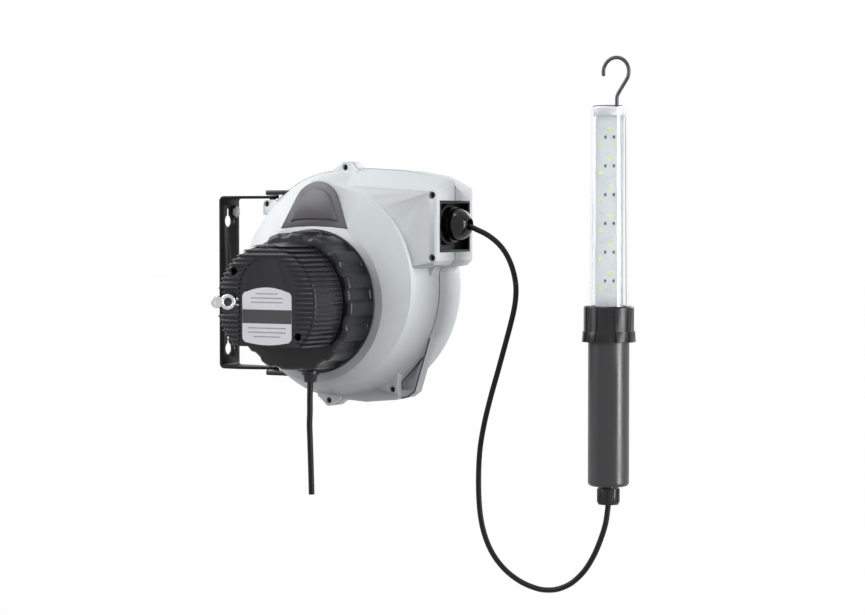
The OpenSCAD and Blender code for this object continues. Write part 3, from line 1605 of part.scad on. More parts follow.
board_low = neck_top - handle_wall - 0.5;
board_high = cap_low - seat_gap;
board_front = -board_y - board_t;

// A box on the lamp's own axis, turned with the LED board.
module lamp_box(low, high) {
  translate([lamp_x, 0, 0]) rotate(lamp_turn) box(low, high);
}

module led_board() {
  color("#f2f4f5") lamp_box([-board_w / 2, board_front, board_low],
               [board_w / 2, -board_y, board_high]);
  // small parts soldered to the board
  color("#4a4a48") for (i = [0:led_count - 1]) for (s = [-1, 1])
    lamp_box([s * 4.3 - 1, board_front - 0.8, led_z(i) - 9],
         [s * 4.3 + 1, board_front, led_z(i) - 6]);
}

top_led = tube_top - 25;
function led_z(i) = top_led - i * led_pitch;
led_t = 1.4;
module one_led(x, z) {
  lamp_box([x - led_size / 2, board_front - led_t, z - led_size / 3],
       [x + led_size / 2, board_front, z + led_size / 3]);
}
module led_chips() {
  color("#e6f08c") for (i = [0:led_count - 1]) {
    one_led(0, led_z(i));
    for (s = [-1, 1]) one_led(s * led_side, led_z(i) - led_pitch / 2);
  }
}

// -------- hook

stem_x = lamp_x + stem_dx;
bend_x = stem_x - 1;
bend_z = tube_top + hook_rise;
neck_bend_r = 12;
lean = 34;

// Middle line of the wire: a long bend, a leaning run and a short bend into the stem.
module hook() {
  wire_r = hook_wire_r - 0.05;
  p = [bend_x + hook_bend_r * cos(lean), bend_z - hook_bend_r * sin(lean)];
  run = (p[0] - stem_x - neck_bend_r * (1 - cos(lean))) / sin(lean);
  q = p - run * [sin(lean), cos(lean)];
  c = [stem_x + neck_bend_r, q[1] - neck_bend_r * sin(lean)];
  route = concat(
    [for (a = [190:-8:-lean + 4])
      [bend_x + hook_bend_r * cos(a), 0, bend_z + hook_bend_r * sin(a)]],
    [[p[0], 0, p[1]], [q[0], 0, q[1]]],
    [for (a = [180 - lean / 2, 180])
      [c[0] + neck_bend_r * cos(a), 0, c[1] + neck_bend_r * sin(a)]],
    [[stem_x, 0, c[1] - 2]]);
  color("#4a4a4c") {
    cord_tube(route, wire_r, 16, unit(route[1] - route[0]), [0, 0, -1]);
    translate([stem_x, 0, cap_low + 2]) cylinder(r = hook_wire_r, h = c[1] - cap_low - 2);
    // head that keeps the stem in the end cap
    translate([stem_x, 0, cap_low + 1]) cylinder(r = hook_wire_r + 1.6, h = 2);
  }
}

// -------- assembly

wall_bracket();
hole_plug();
pivot_washers();
pivot_lug_upper();
pivot_lug_lower();
pivot_pins();
front_shell();
rear_shell();
case_screws();
connection_cover();
transformer_base();
transformer_cover();
cover_screws();
rating_label();
safety_eye();
transformer_core();
transformer_coil();
transformer_frame();
supply_gland();
supply_cord();
terminal_block();
inner_leads();
brush_holder();
carbon_brushes();
brush_springs();
centre_shaft();
shaft_clips();
pawl_pin();
pawl_spring();
mouth_frame();
roller_pins();
stop_buffer();
stop_ball_front();
stop_ball_rear();
stop_ball_screws();
cable_run();
lamp_cord();
drum_front_half();
drum_rear_half();
drum_screws();
drum_bushes();
wound_cable();
slip_ring_disc();
slip_rings();
spring_cover();
main_spring();
ratchet_ring();
pawl();
roller_upper();
roller_lower();
roller_front();
roller_rear();
lamp_gland_nut();
lamp_handle();
lamp_collar();
lamp_tube();
lamp_end_cap();
led_board();
led_chips();
hook();
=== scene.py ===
# %% [markdown]
# # A wall-mounted cable reel with a hand lamp
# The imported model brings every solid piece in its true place. This lesson dresses it: it
# measures the frame, places the camera, lays the cords, paints each finish from what it is
# made of, and adds the pieces whose real shape is rounder or finer than the solids.

# %% The frame, and the numbers that everything shares
import json
import math
import bmesh
import bpy
import numpy as np
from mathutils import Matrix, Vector


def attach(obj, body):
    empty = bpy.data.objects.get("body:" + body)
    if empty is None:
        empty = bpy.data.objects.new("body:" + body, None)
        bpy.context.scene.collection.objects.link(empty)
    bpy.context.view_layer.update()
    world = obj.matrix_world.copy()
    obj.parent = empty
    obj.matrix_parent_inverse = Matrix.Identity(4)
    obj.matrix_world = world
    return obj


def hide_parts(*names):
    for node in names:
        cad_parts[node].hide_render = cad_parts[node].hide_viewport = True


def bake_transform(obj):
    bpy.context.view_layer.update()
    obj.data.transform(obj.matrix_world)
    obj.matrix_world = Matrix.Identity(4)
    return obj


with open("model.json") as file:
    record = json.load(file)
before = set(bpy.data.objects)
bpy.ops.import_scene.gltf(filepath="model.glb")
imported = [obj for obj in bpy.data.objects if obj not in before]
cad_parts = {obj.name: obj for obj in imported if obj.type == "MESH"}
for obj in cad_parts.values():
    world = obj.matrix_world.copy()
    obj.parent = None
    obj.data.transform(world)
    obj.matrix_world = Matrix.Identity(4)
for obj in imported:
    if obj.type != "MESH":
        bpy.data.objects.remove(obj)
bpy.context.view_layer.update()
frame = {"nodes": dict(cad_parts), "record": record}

MM = 0.001
NODES = frame["nodes"]

# %% [markdown]
# ## The camera
# A long lens far away keeps the reel's verticals upright, as a catalogue view does. The aim
# is a point between the reel and the lamp, and the place follows from two angles.

# %% The camera
AIM = Vector((0.238, 0.051, -0.026))
AZIMUTH, ELEVATION, DISTANCE = math.radians(30.5), math.radians(2.2), 2.64
SENSOR, FOCAL_IN_PIXELS, IMAGE_WIDTH = 36.0, 2400.0, 865

camera_data = bpy.data.cameras.new("camera")
camera_data.sensor_width = SENSOR
camera_data.lens = FOCAL_IN_PIXELS * SENSOR / IMAGE_WIDTH
camera = bpy.data.objects.new("camera", camera_data)
bpy.context.scene.collection.objects.link(camera)
towards = Vector((math.sin(AZIMUTH) * math.cos(ELEVATION),
                  -math.cos(AZIMUTH) * math.cos(ELEVATION), math.sin(ELEVATION)))
camera.location = AIM + DISTANCE * towards
camera.rotation_euler = (-towards).to_track_quat("-Z", "Y").to_euler()
bpy.context.scene.camera = camera
print("lens", round(camera_data.lens, 1), "mm")

# %% [markdown]
# ## Meshes from arrays
# Every new surface is a grid of points worked out by numpy. One helper turns the grid into
# faces, closing it around or along where the form needs it, and smooths what is round.

# %% Grids into meshes
def quads(rows, columns, around=False):
    """Corner numbers of the quads of a grid: row i, column j joins row i + 1, column j + 1."""
    i = np.arange(rows - 1)[:, None]
    j = np.arange(columns if around else columns - 1)[None, :]
    k = (j + 1) % columns
    a, b = i * columns + j, i * columns + k
    return np.stack([a, b, b + columns, a + columns], -1).reshape(-1, 4)


def make_mesh(name, points, faces, smooth=True):
    """A new object from points in metres and faces, at the origin, unturned and unscaled."""
    mesh = bpy.data.meshes.new(name)
    mesh.from_pydata(np.asarray(points).reshape(-1, 3).tolist(), [], [list(f) for f in faces])
    mesh.polygons.foreach_set("use_smooth", [smooth] * len(mesh.polygons))
    mesh.update()
    piece = bpy.data.objects.new(name, mesh)
    bpy.context.scene.collection.objects.link(piece)
    return piece


def outward(piece):
    """Merges doubles and turns every face outwards."""
    work = bmesh.new()
    work.from_mesh(piece.data)
    bmesh.ops.remove_doubles(work, verts=work.verts, dist=1e-7)
    bmesh.ops.recalc_face_normals(work, faces=work.faces)
    work.to_mesh(piece.data)
    work.free()
    piece.data.update()
    return piece


def keep_creases(piece, degrees):
    """Smooth shading that stays sharp where two faces meet at more than the given angle."""
    work = bmesh.new()
    work.from_mesh(piece.data)
    limit = math.radians(degrees)
    for edge in work.edges:
        edge.smooth = len(edge.link_faces) == 2 and edge.calc_face_angle(0) < limit
    for face in work.faces:
        face.smooth = True
    work.to_mesh(piece.data)
    work.free()
    return piece


def level_turn(degrees):
    """A turn about the upright axis, as a matrix for rows of points."""
    a = math.radians(degrees)
    return np.array([[math.cos(a), math.sin(a), 0], [-math.sin(a), math.cos(a), 0], [0, 0, 1]])


def turned(name, profile, centre, axis, count=96, crease=35, degrees=0):
    """A turned form: each profile point (radius, height) in mm goes once round the axis,
    and the whole is turned level about its centre by the given degrees."""
    profile = np.asarray(profile, float)
    a = np.linspace(0, 2 * np.pi, count, endpoint=False)
    r, h = profile[:, 0][:, None], profile[:, 1][:, None]
    u, v, w = r * np.cos(a), r * np.sin(a), h + 0 * a
    order = {"X": (w, u, v), "Y": (u, w, v), "Z": (u, v, w)}[axis]
    points = np.stack(order, -1) @ level_turn(degrees) + np.asarray(centre, float)
    piece = make_mesh(name, points * MM, quads(len(profile), count, around=True))
    return keep_creases(outward(piece), crease)


def joined(name, pieces):
    """One object from several: their meshes are put together and the old ones removed."""
    work = bmesh.new()
    for piece in pieces:
        work.from_mesh(piece.data)
        bpy.data.objects.remove(piece)
    mesh = bpy.data.meshes.new(name)
    work.to_mesh(mesh)
    work.free()
    whole = bpy.data.objects.new(name, mesh)
    bpy.context.scene.collection.objects.link(whole)
    return whole


TUBE_CREASE = 50


def tube_along(name, path, radius, sides):
    """A tube: at each path point a ring of the given radius (one number, or one for each
    point), square to the path, closed by a flat disc at either end. The path lies in a
    plane of constant Y."""
    path = np.asarray(path, float)
    radius = np.broadcast_to(radius, len(path))[:, None, None]
    ahead = np.gradient(path, axis=0)
    ahead /= np.linalg.norm(ahead, axis=1)[:, None]
    level = np.array([0.0, 1.0, 0.0])
    side = np.cross(level, ahead)
    side /= np.linalg.norm(side, axis=1)[:, None]
    a = np.linspace(0, 2 * np.pi, sides, endpoint=False)[None, :, None]
    rings = path[:, None] + radius * (np.cos(a) * side[:, None] + np.sin(a) * level)
    last = (len(path) - 1) * sides
    faces = quads(len(path), sides, around=True).tolist()
    faces += [list(range(sides)), list(range(last, last + sides))]
    return keep_creases(outward(make_mesh(name, rings, faces)), TUBE_CREASE)


print("grid of 3 by 4:", len(quads(3, 4)), "quads")

# %% [markdown]
# ## The two cords
# Both cords are round, with a soft black jacket. A cord keeps its length, so its route is a
# row of listed points joined by a smooth curve, and the tube follows that curve. The
# lamp's cord leaves the stop ball level, falls in one long bend, turns at the bottom and
# rises into the lamp's gland nut. The supply cord hangs straight down from its gland.

# %% The routes
def smooth_route(points, steps):
    """Between two points a cubic that leaves and arrives along the line of the neighbours."""
    p = np.asarray(points, float)
    a = np.vstack([p[:1], p[:-2]])
    b, c = p[:-1], p[1:]
    d = np.vstack([p[2:], p[-1:]])
    t = (np.arange(steps) / steps)[None, :, None]
    a, b, c, d = (q[:, None] for q in (a, b, c, d))
    curve = (b + t * (c - a) / 2 + t * t * (a - 2.5 * b + 2 * c - d / 2)
             + t ** 3 * (-a + 3 * b - 3 * c + d) / 2)
    return np.vstack([curve.reshape(-1, 3), p[-1:]])


AXIS_X, AXIS_Z, CABLE_RISE = 152.0, -17.5, 83.0
CABLE_Z = AXIS_Z + CABLE_RISE
BALL_X, EXIT_X = 298.5, 314.5
LAMP_X, NUT_LOW = 479.0, -223.0
LAMP_CORD_D, SUPPLY_D = 5.8, 6.3
ROUTE_STEPS, CORD_SIDES = 8, 20
lamp_cord_mm = [
    (BALL_X + 3, 0, CABLE_Z), (BALL_X + 8, 0, CABLE_Z - 0.4), (EXIT_X - 2, 0, CABLE_Z - 1.6),
    (EXIT_X + 4, 0, CABLE_Z - 3.6), (325, 0, 59.2), (332, 0, 56.4), (339.5, 0, 52.3),
    (347, 0, 47), (354, 0, 40.2), (360.5, 0, 31), (366, 0, 19), (369.5, 0, 5),
    (370, 0, -8), (368, 0, -23), (363, 0, -42), (358.5, 0, -57), (349, 0, -88),
    (339, 0, -120), (331.5, 0, -148), (326.5, 0, -176), (325, 0, -208), (326.5, 0, -238),
    (331.5, 0, -262), (341.5, 0, -283), (356.5, 0, -299.5), (375, 0, -311), (394, 0, -317),
    (408, 0, -318), (422, 0, -315.5), (437, 0, -308), (451, 0, -295), (462, 0, -278.5),
    (470, 0, -261), (476, 0, -243), (LAMP_X, 0, NUT_LOW)]
supply_cord_mm = [
    (166, -84, -102.7), (165.5, -84, -120), (165.5, -84, -134), (165, -84, -148),
    (165.5, -84, -162), (166, -84, -176), (166.5, -84, -190), (167, -84, -206),
    (167.5, -84, -223)]
lamp_route = smooth_route(lamp_cord_mm, ROUTE_STEPS) * MM
supply_route = smooth_route(supply_cord_mm, ROUTE_STEPS) * MM


def length_of(route):
    """Sum of the straight distances from point to point."""
    return float(np.linalg.norm(np.diff(route, axis=0), axis=1).sum())


print("lamp cord", round(length_of(lamp_route), 4), "m, supply cord",
      round(length_of(supply_route), 4), "m")

# %% [markdown]
# ## The cords as tubes
# At every step of a route stands a ring of points square to it, all of one radius. Joined
# from ring to ring they make a tube with flat ends.

# %% The cord tubes
lamp_cord = tube_along("lamp_cord_jacket", lamp_route, LAMP_CORD_D / 2 * MM, CORD_SIDES)
supply_cord = tube_along("supply_cord_jacket", supply_route, SUPPLY_D / 2 * MM, CORD_SIDES)
print("rings:", len(lamp_route), "on the lamp's cord,", len(supply_route), "on the supply cord")

# %% [markdown]
# ## Finishes
# Each finish is named for what the thing is made of and how it was made. Colours are written
# as the screen shows them and turned to linear light by one function. Patterns are sized in
# millimetres: grain of spark-eroded moulds, flow of plating, lay of a jacket.

# %% Colour and node helpers
def linear(hexcode):
    """sRGB to linear light: below 0.04045 divide by 12.92, above it a 2.4 power curve."""
    c = np.array([int(hexcode[i:i + 2], 16) / 255 for i in (1, 3, 5)])
    out = np.where(c <= 0.04045, c / 12.92, ((c + 0.055) / 1.055) ** 2.4)
    return (*[float(v) for v in out], 1.0)


def put(tree, kind, settings=None, **inputs):
    """Adds a node of that kind, sets its own settings, then fills or links its sockets. A
    socket goes by its name, or by its number after a low line where names repeat."""
    made = tree.nodes.new(kind)
    for key, value in (settings or {}).items():
        setattr(made, key, value)
    for key, value in inputs.items():
        socket = made.inputs[int(key[1:])] if key[0] == "_" else made.inputs[key.replace("_", " ")]
        if isinstance(value, bpy.types.NodeSocket):
            tree.links.new(value, socket)
        else:
            socket.default_value = value
    return made


FINISHES = {}


def finish_of(name, colour, roughness, grain_mm=0.5, grain=0.0, cloud=0.0, cloud_mm=30.0,
              roughness_swing=0.06, **sockets):
    """One surface: a base colour that drifts in soft clouds, a roughness that drifts with
    it, and a fine grain in the normal."""
    material = bpy.data.materials.new(name)
    material.use_nodes = True
    tree = material.node_tree
    tree.nodes.clear()
    place = put(tree, "ShaderNodeTexCoord").outputs["Object"]
    shader = put(tree, "ShaderNodeBsdfPrincipled", **sockets)
    clouds = put(tree, "ShaderNodeTexNoise", Vector=place, Scale=1000 / cloud_mm, Detail=4.0)
    base = np.array(linear(colour))
    dark = tuple(float(v) for v in (base[:3] * (1 - cloud))) + (1.0,)
    pale = tuple(float(min(1, v)) for v in (base[:3] * (1 + cloud))) + (1.0,)
    tint = put(tree, "ShaderNodeMix", {"data_type": "RGBA"}, _0=clouds.outputs["Fac"],
               _6=dark, _7=pale)
    result = tint.outputs[2]
    tree.links.new(result, shader.inputs["Base Color"])
    rough = put(tree, "ShaderNodeMapRange", Value=clouds.outputs["Fac"], From_Min=0.3,
                From_Max=0.7, To_Min=max(0.02, roughness - roughness_swing),
                To_Max=min(1.0, roughness + roughness_swing))
    tree.links.new(rough.outputs["Result"], shader.inputs["Roughness"])
    if grain:
        fine = put(tree, "ShaderNodeTexNoise", Vector=place, Scale=1000 / grain_mm, Detail=2.0)
        bump = put(tree, "ShaderNodeBump", Height=fine.outputs["Fac"], Strength=grain,
                   Distance=0.0002)
        tree.links.new(bump.outputs["Normal"], shader.inputs["Normal"])
    out = put(tree, "ShaderNodeOutputMaterial")
    tree.links.new(shader.outputs["BSDF"], out.inputs["Surface"])
    FINISHES[name] = material
    return material


def paint(names, material):
    """Gives CAD nodes or new pieces one finish in every slot."""
    for name in names:
        piece = NODES[name] if isinstance(name, str) else name
        if not piece.data.materials:
            piece.data.materials.append(material)
        for slot in range(len(piece.data.materials)):
            piece.data.materials[slot] = material


# %% [markdown]
# ### Moulded plastics
# The case is light grey ABS from a spark-eroded mould: a fine even grain, about half a
# millimetre wide, that turns highlights soft. The transformer housing, lugs and collar are
# black glass-filled nylon or ABS with a slight sheen, where edges catch a grey line.

# %% Moulded plastics
grey_abs = finish_of("light_grey_abs", "#CDD2D5", 0.42, grain_mm=0.6, grain=0.12,
                     cloud=0.012, cloud_mm=60, IOR=1.53)
black_nylon = finish_of("black_moulded_nylon", "#1B1B1E", 0.30, grain_mm=0.7, grain=0.18,
                        cloud=0.10, cloud_mm=25, IOR=1.5,
                        Specular_IOR_Level=0.3)
cover_nylon = finish_of("black_ribbed_nylon", "#232228", 0.28, grain_mm=0.7, grain=0.16,
                        cloud=0.08, cloud_mm=25, IOR=1.5, Specular_IOR_Level=0.3)
black_abs = finish_of("black_smooth_abs", "#0D0D0F", 0.30, grain_mm=0.5, grain=0.08,
                      cloud=0.06, cloud_mm=30, IOR=1.5, Specular_IOR_Level=0.3)
gloss_abs = finish_of("black_polished_abs", "#0C0C0E", 0.14, grain_mm=0.5, grain=0.03,
                      cloud=0.06, cloud_mm=30, roughness_swing=0.03, IOR=1.5,
                      Specular_IOR_Level=0.35)
handle_pvc = finish_of("soft_grey_handle", "#27272A", 0.34, grain_mm=0.6, grain=0.12,
                       cloud=0.05, cloud_mm=40, IOR=1.53)
smoke_cover = finish_of("smoke_grey_cover", "#5B5960", 0.40, grain_mm=0.5, grain=0.10,
                        cloud=0.05, cloud_mm=25, IOR=1.53, Specular_IOR_Level=0.3)
pale_plastic = finish_of("pale_grey_plastic", "#DADDDF", 0.40, grain_mm=0.5, grain=0.06,
                         cloud=0.02, cloud_mm=20, IOR=1.5)
tan_laminate = finish_of("tan_laminate", "#C9B78F", 0.5, grain_mm=0.4, grain=0.2,
                         cloud=0.08, cloud_mm=6, IOR=1.55)
brown_phenolic = finish_of("brown_phenolic", "#7A3F2A", 0.35, grain_mm=0.5, grain=0.1,
                           cloud=0.12, cloud_mm=8, IOR=1.6)
drum_plastic = finish_of("drum_grey_nylon", "#4B4E52", 0.45, grain_mm=0.6, grain=0.15,
                         cloud=0.06, cloud_mm=30, IOR=1.53)
print(len(FINISHES), "finishes so far")

# %% [markdown]
# ### Metals
# The bracket is steel strip with semi-gloss black powder coat, which has a faint orange
# peel about a millimetre wide. Screws are black oxide, the eye is bright zinc with the
# mottled spangle of plating, and the springs are rolled blue-grey strip.

# %% Metals
powder_coat = finish_of("black_powder_coat", "#111113", 0.42, grain_mm=1.1, grain=0.22,
                        cloud=0.05, cloud_mm=20, IOR=1.5, Specular_IOR_Level=0.15)
black_oxide = finish_of("black_oxide_steel", "#2A2A2C", 0.38, grain_mm=0.4, grain=0.1,
                        cloud=0.15, cloud_mm=4, Metallic=0.7)
zinc = finish_of("bright_zinc_plate", "#C3C7C7", 0.27, grain_mm=1.2, grain=0.35, cloud=0.16,
                 cloud_mm=3.5, roughness_swing=0.12, Metallic=1.0)
dull_zinc = finish_of("dull_zinc_plate", "#8E9294", 0.45, grain_mm=1.2, grain=0.3, cloud=0.1,
                      cloud_mm=3.5, roughness_swing=0.1, Metallic=0.8)
ground_steel = finish_of("ground_steel", "#8F9294", 0.3, grain_mm=0.3, grain=0.15,
                         cloud=0.08, cloud_mm=6, Metallic=1.0)
core_iron = finish_of("core_iron", "#6B6D70", 0.5, grain_mm=0.5, grain=0.3, cloud=0.1,
                      cloud_mm=5, Metallic=0.8)
copper_wire = finish_of("varnished_copper", "#A5622E", 0.35, grain_mm=0.9, grain=0.5,
                        cloud=0.1, cloud_mm=6, Metallic=0.6)
bronze = finish_of("sintered_bronze", "#B58A4A", 0.45, grain_mm=0.4, grain=0.3, cloud=0.12,
                   cloud_mm=4, Metallic=1.0)
brass = finish_of("turned_brass", "#C49A4B", 0.25, grain_mm=0.3, grain=0.1, cloud=0.06,
                  cloud_mm=8, Metallic=1.0)
spring_strip = finish_of("blued_spring_strip", "#5F6C7C", 0.3, grain_mm=0.4, grain=0.1,
                         cloud=0.12, cloud_mm=10, Metallic=1.0)
hook_wire = finish_of("blackened_wire", "#4A4A4D", 0.34, grain_mm=0.5, grain=0.15,
                      cloud=0.10, cloud_mm=8, Metallic=0.85)

# %% [markdown]
# ### Rubber, jackets, carbon and paper
# The cords have a soft black PVC jacket with a dull sheen, slightly uneven as it left the
# extruder. The buffer behind the ball is matt rubber. The label is a light grey film with
# screen-printed ink, and the lamp's tube is clear polycarbonate.

# %% Rubber and the rest
printed_ink = finish_of("dark_screen_ink", "#37373B", 0.4, grain_mm=0.6, grain=0.05,
                        cloud=0.04, cloud_mm=10, IOR=1.5)
pale_ink = finish_of("grey_screen_ink", "#A9A9B2", 0.4, grain_mm=0.6, grain=0.05,
                     cloud=0.04, cloud_mm=10, IOR=1.5)
jacket = finish_of("black_pvc_jacket", "#111113", 0.45, grain_mm=1.6, grain=0.3, cloud=0.12,
                   cloud_mm=12, IOR=1.5, Specular_IOR_Level=0.2)
matt_rubber = finish_of("matt_black_rubber", "#101012", 0.62, grain_mm=0.8, grain=0.3,
                        cloud=0.1, cloud_mm=10, IOR=1.52)
blue_lead = finish_of("blue_pvc_lead", "#3F5FA8", 0.4, grain_mm=0.8, grain=0.1, cloud=0.05,
                      cloud_mm=10, IOR=1.52)
carbon_block = finish_of("pressed_carbon", "#38383A", 0.6, grain_mm=0.4, grain=0.4,
                         cloud=0.15, cloud_mm=3, IOR=1.5)
label_film = finish_of("silver_grey_film", "#EDECF4", 0.35, grain_mm=0.5, grain=0.04,
                       cloud=0.015, cloud_mm=10, IOR=1.5)
board_mask = finish_of("white_solder_mask", "#D2D9DA", 0.3, grain_mm=0.5, grain=0.05,
                       cloud=0.02, cloud_mm=10, IOR=1.5)
phosphor = finish_of("yellow_phosphor", "#E6F27A", 0.35, grain_mm=0.5, grain=0.1, cloud=0.05,
                     cloud_mm=1.5, IOR=1.5)
clear_tube = finish_of("clear_polycarbonate", "#FCFDFF", 0.03, cloud=0.0, cloud_mm=40,
                       roughness_swing=0.02, IOR=1.49, Transmission_Weight=1.0,
                       Specular_IOR_Level=0.1)
print(len(FINISHES), "finishes in all")

# %% [markdown]
# ## Painting the solids
# Most solids already have their true form, so they only need their finish.

# %% One finish for each solid
WEARS = {
    "wall_bracket": powder_coat, "hole_plug": dull_zinc, "pivot_washers": pale_plastic,
    "pivot_lug_upper": black_nylon, "pivot_lug_lower": black_nylon, "pivot_pins": black_oxide,
    "front_shell": grey_abs, "rear_shell": grey_abs, "case_screws": black_oxide,
    "connection_cover": smoke_cover, "transformer_base": black_nylon,
    "transformer_cover": cover_nylon, "cover_screws": black_oxide, "rating_label": label_film,
    "safety_eye": zinc, "transformer_core": core_iron, "transformer_coil": copper_wire,
    "transformer_frame": ground_steel, "supply_gland": black_nylon, "supply_cord": jacket,
    "terminal_block": pale_plastic, "inner_leads": blue_lead, "brush_holder": brown_phenolic,
    "carbon_brushes": carbon_block, "brush_springs": ground_steel,
    "centre_shaft": ground_steel, "shaft_clips": spring_strip, "pawl_pin": ground_steel,
    "pawl_spring": spring_strip, "mouth_frame": black_abs, "roller_pins": ground_steel,
    "stop_buffer": matt_rubber, "stop_ball_front": gloss_abs, "stop_ball_rear": gloss_abs,
    "stop_ball_screws": black_oxide, "cable_run": jacket, "lamp_cord": jacket,
    "drum_front_half": drum_plastic, "drum_rear_half": drum_plastic, "drum_screws": black_oxide,
    "drum_bushes": bronze, "wound_cable": jacket, "slip_ring_disc": tan_laminate,
    "slip_rings": brass, "spring_cover": ground_steel, "main_spring": spring_strip,
    "ratchet_ring": core_iron, "pawl": ground_steel, "roller_upper": pale_plastic,
    "roller_lower": pale_plastic, "roller_front": pale_plastic, "roller_rear": pale_plastic,
    "lamp_gland_nut": black_nylon, "lamp_handle": handle_pvc, "lamp_collar": black_nylon,
    "lamp_tube": clear_tube, "lamp_end_cap": pale_plastic, "led_board": board_mask,
    "led_chips": phosphor, "hook": hook_wire,
}
for name, material in WEARS.items():
    paint([name], material)
print("without a finish:", sorted(set(NODES) - set(WEARS)))

# %% [markdown]
# ## Rounded edges
# Moulded plastic, powder-coated strip and turned metal have no knife edges: each edge is a
# small round that catches a thin line of light. The solids are sharp, so a copy of each
# outer solid has its loose triangles merged and its edges rolled over by a bevel.

# %% Rounded copies of the outer solids
BODY_OF = {node: body for body, nodes in frame["record"]["behaviour"]["bodies"].items()
           for node in nodes}


def added(piece, body, material):
    """The piece gets its body, and its finish in every slot."""
    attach(piece, body)
    paint([piece], material)
    return piece


def stands_for(piece, node):
    """The piece takes the solid's place and body, and its finish in every slot."""
    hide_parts(node)
    return added(piece, BODY_OF[node], WEARS[node])


MERGE_WITHIN, FLAT_WITHIN, EDGE_SEGMENTS = 1e-6, math.radians(1.0), 2


def rounded(node, width, degrees):
    """A copy of a solid: doubles merged, flat triangles joined into whole faces, and every
    edge sharper than the given angle rolled over by the given width in mm."""
    mesh = NODES[node].data.copy()
    work = bmesh.new()
    work.from_mesh(mesh)
    bmesh.ops.remove_doubles(work, verts=work.verts, dist=MERGE_WITHIN)
    bmesh.ops.dissolve_limit(work, angle_limit=FLAT_WITHIN, verts=work.verts, edges=work.edges)
    for face in work.faces:
        face.smooth = True
    for edge in work.edges:
        edge.smooth = True
    work.to_mesh(mesh)
    work.free()
    piece = bpy.data.objects.new(node + "_rounded", mesh)
    bpy.context.scene.collection.objects.link(piece)
    bevel = piece.modifiers.new("edges", "BEVEL")
    bevel.width = width * MM
    bevel.segments = EDGE_SEGMENTS
    bevel.limit_method = "ANGLE"
    bevel.angle_limit = math.radians(degrees)
    bevel.harden_normals = True
    return stands_for(piece, node)


USUAL_CREASE = 35
LOW_CREASES = {"front_shell": 14, "rear_shell": 14, "connection_cover": 20}
EDGE_WIDTHS = {
    "wall_bracket": 0.6, "hole_plug": 0.6, "pivot_lug_upper": 0.6, "pivot_lug_lower": 0.6,
    "front_shell": 1.1, "rear_shell": 1.1, "connection_cover": 0.7, "transformer_cover": 0.55,
    "supply_gland": 0.6, "mouth_frame": 0.6, "lamp_gland_nut": 0.5,
    "lamp_collar": 0.4, "lamp_end_cap": 0.8, "case_screws": 0.25, "cover_screws": 0.25,
    "stop_ball_front": 0.4, "stop_ball_rear": 0.4, "stop_buffer": 0.5,
}
for node, width in EDGE_WIDTHS.items():
    rounded(node, width, LOW_CREASES.get(node, USUAL_CREASE))
print(len(EDGE_WIDTHS), "solids have rolled edges")

# %% [markdown]
# ## A painted shadow along the seam
# The two halves of the case meet on one plane. The shadow in the gap between them is painted:
# a thin dark matt strip, a hair proud of the case, shows all round as a dark line. The strip
# follows the rear half's own outline there: every edge of the solid on that plane whose side
# faces away from the middle gives one short length, and the lengths share their corners.

# %% Painted seam shadow from the rear half's outline
SHADOW_STRIP_PROUD, SHADOW_STRIP_DEEP, SHADOW_STRIP_HALF = 0.12, 1.0, 0.45
ON_PLANE, OUTSIDE, SIDE_FACE = 1e-5, 0.03, 0.7


# Painted shade: the strip is a dark sheet in the seam, where only the gap's shadow falls.
def shadow_strip_along(node, middle, inset, deep, half_wide):
    """Edges on the plane Y = 0 with a side face that looks outwards. Each corner moves in
    by the mean of its edges' side normals; four corners to a section, four quads to a length."""
    work = bmesh.new()
    work.from_mesh(NODES[node].data)
    bmesh.ops.remove_doubles(work, verts=work.verts, dist=MERGE_WITHIN)
    found = [(e.verts[0].co[:], e.verts[1].co[:], f.normal[:]) for e in work.edges
             if abs(e.verts[0].co.y) < ON_PLANE and abs(e.verts[1].co.y) < ON_PLANE
             for f in e.link_faces if abs(f.normal.y) < SIDE_FACE]
    work.free()
    ends = np.array([[a, b] for a, b, _ in found])
    sides = np.array([n for _, _, n in found]) * [1, 0, 1]
    away = ((ends.mean(1) - middle) * sides).sum(1) > OUTSIDE
    ends, sides = ends[away], sides[away]
    keys, place = np.unique(np.round(ends.reshape(-1, 3) / MERGE_WITHIN).astype(np.int64),
                            axis=0, return_inverse=True)
    corners = keys * MERGE_WITHIN
    place = place.reshape(-1, 2)
    normal = np.zeros_like(corners)
    np.add.at(normal, place[:, 0], sides)
    np.add.at(normal, place[:, 1], sides)
    normal /= np.linalg.norm(normal, axis=1)[:, None]
    across = np.array([0, 1.0, 0]) * half_wide
    section = [corners - inset * normal - across, corners - inset * normal + across,
               corners - deep * normal + across, corners - deep * normal - across]
    points = np.stack(section, 1)
    k = np.arange(4)
    a, b = place[:, :1] * 4, place[:, 1:] * 4
    faces = np.stack([a + k, b + k, b + (k + 1) % 4, a + (k + 1) % 4], -1).reshape(-1, 4)
    return outward(make_mesh("seam_painted_shadow", points, faces, False))


# Painted shadow: this dark matt strip stands for the shade in the seam between the halves.
seam_shadow_strip = added(shadow_strip_along("rear_shell", np.array([AXIS_X * MM, 0, 0]), -SHADOW_STRIP_PROUD * MM,
                        SHADOW_STRIP_DEEP * MM, SHADOW_STRIP_HALF * MM), "reel_case",
             matt_rubber)
print("seal:", len(seam_shadow_strip.data.polygons), "faces")

# %% [markdown]
# ## The transformer's bell
# The bell is one deep moulding: a plain rim against the case, then a side that swells into
# sixteen broad pads with soft valleys between them, and a front edge rolled over by a
# generous radius. A grid round its axis gives all of it, as the radius depends only on the
# angle and on how far forward the row lies.

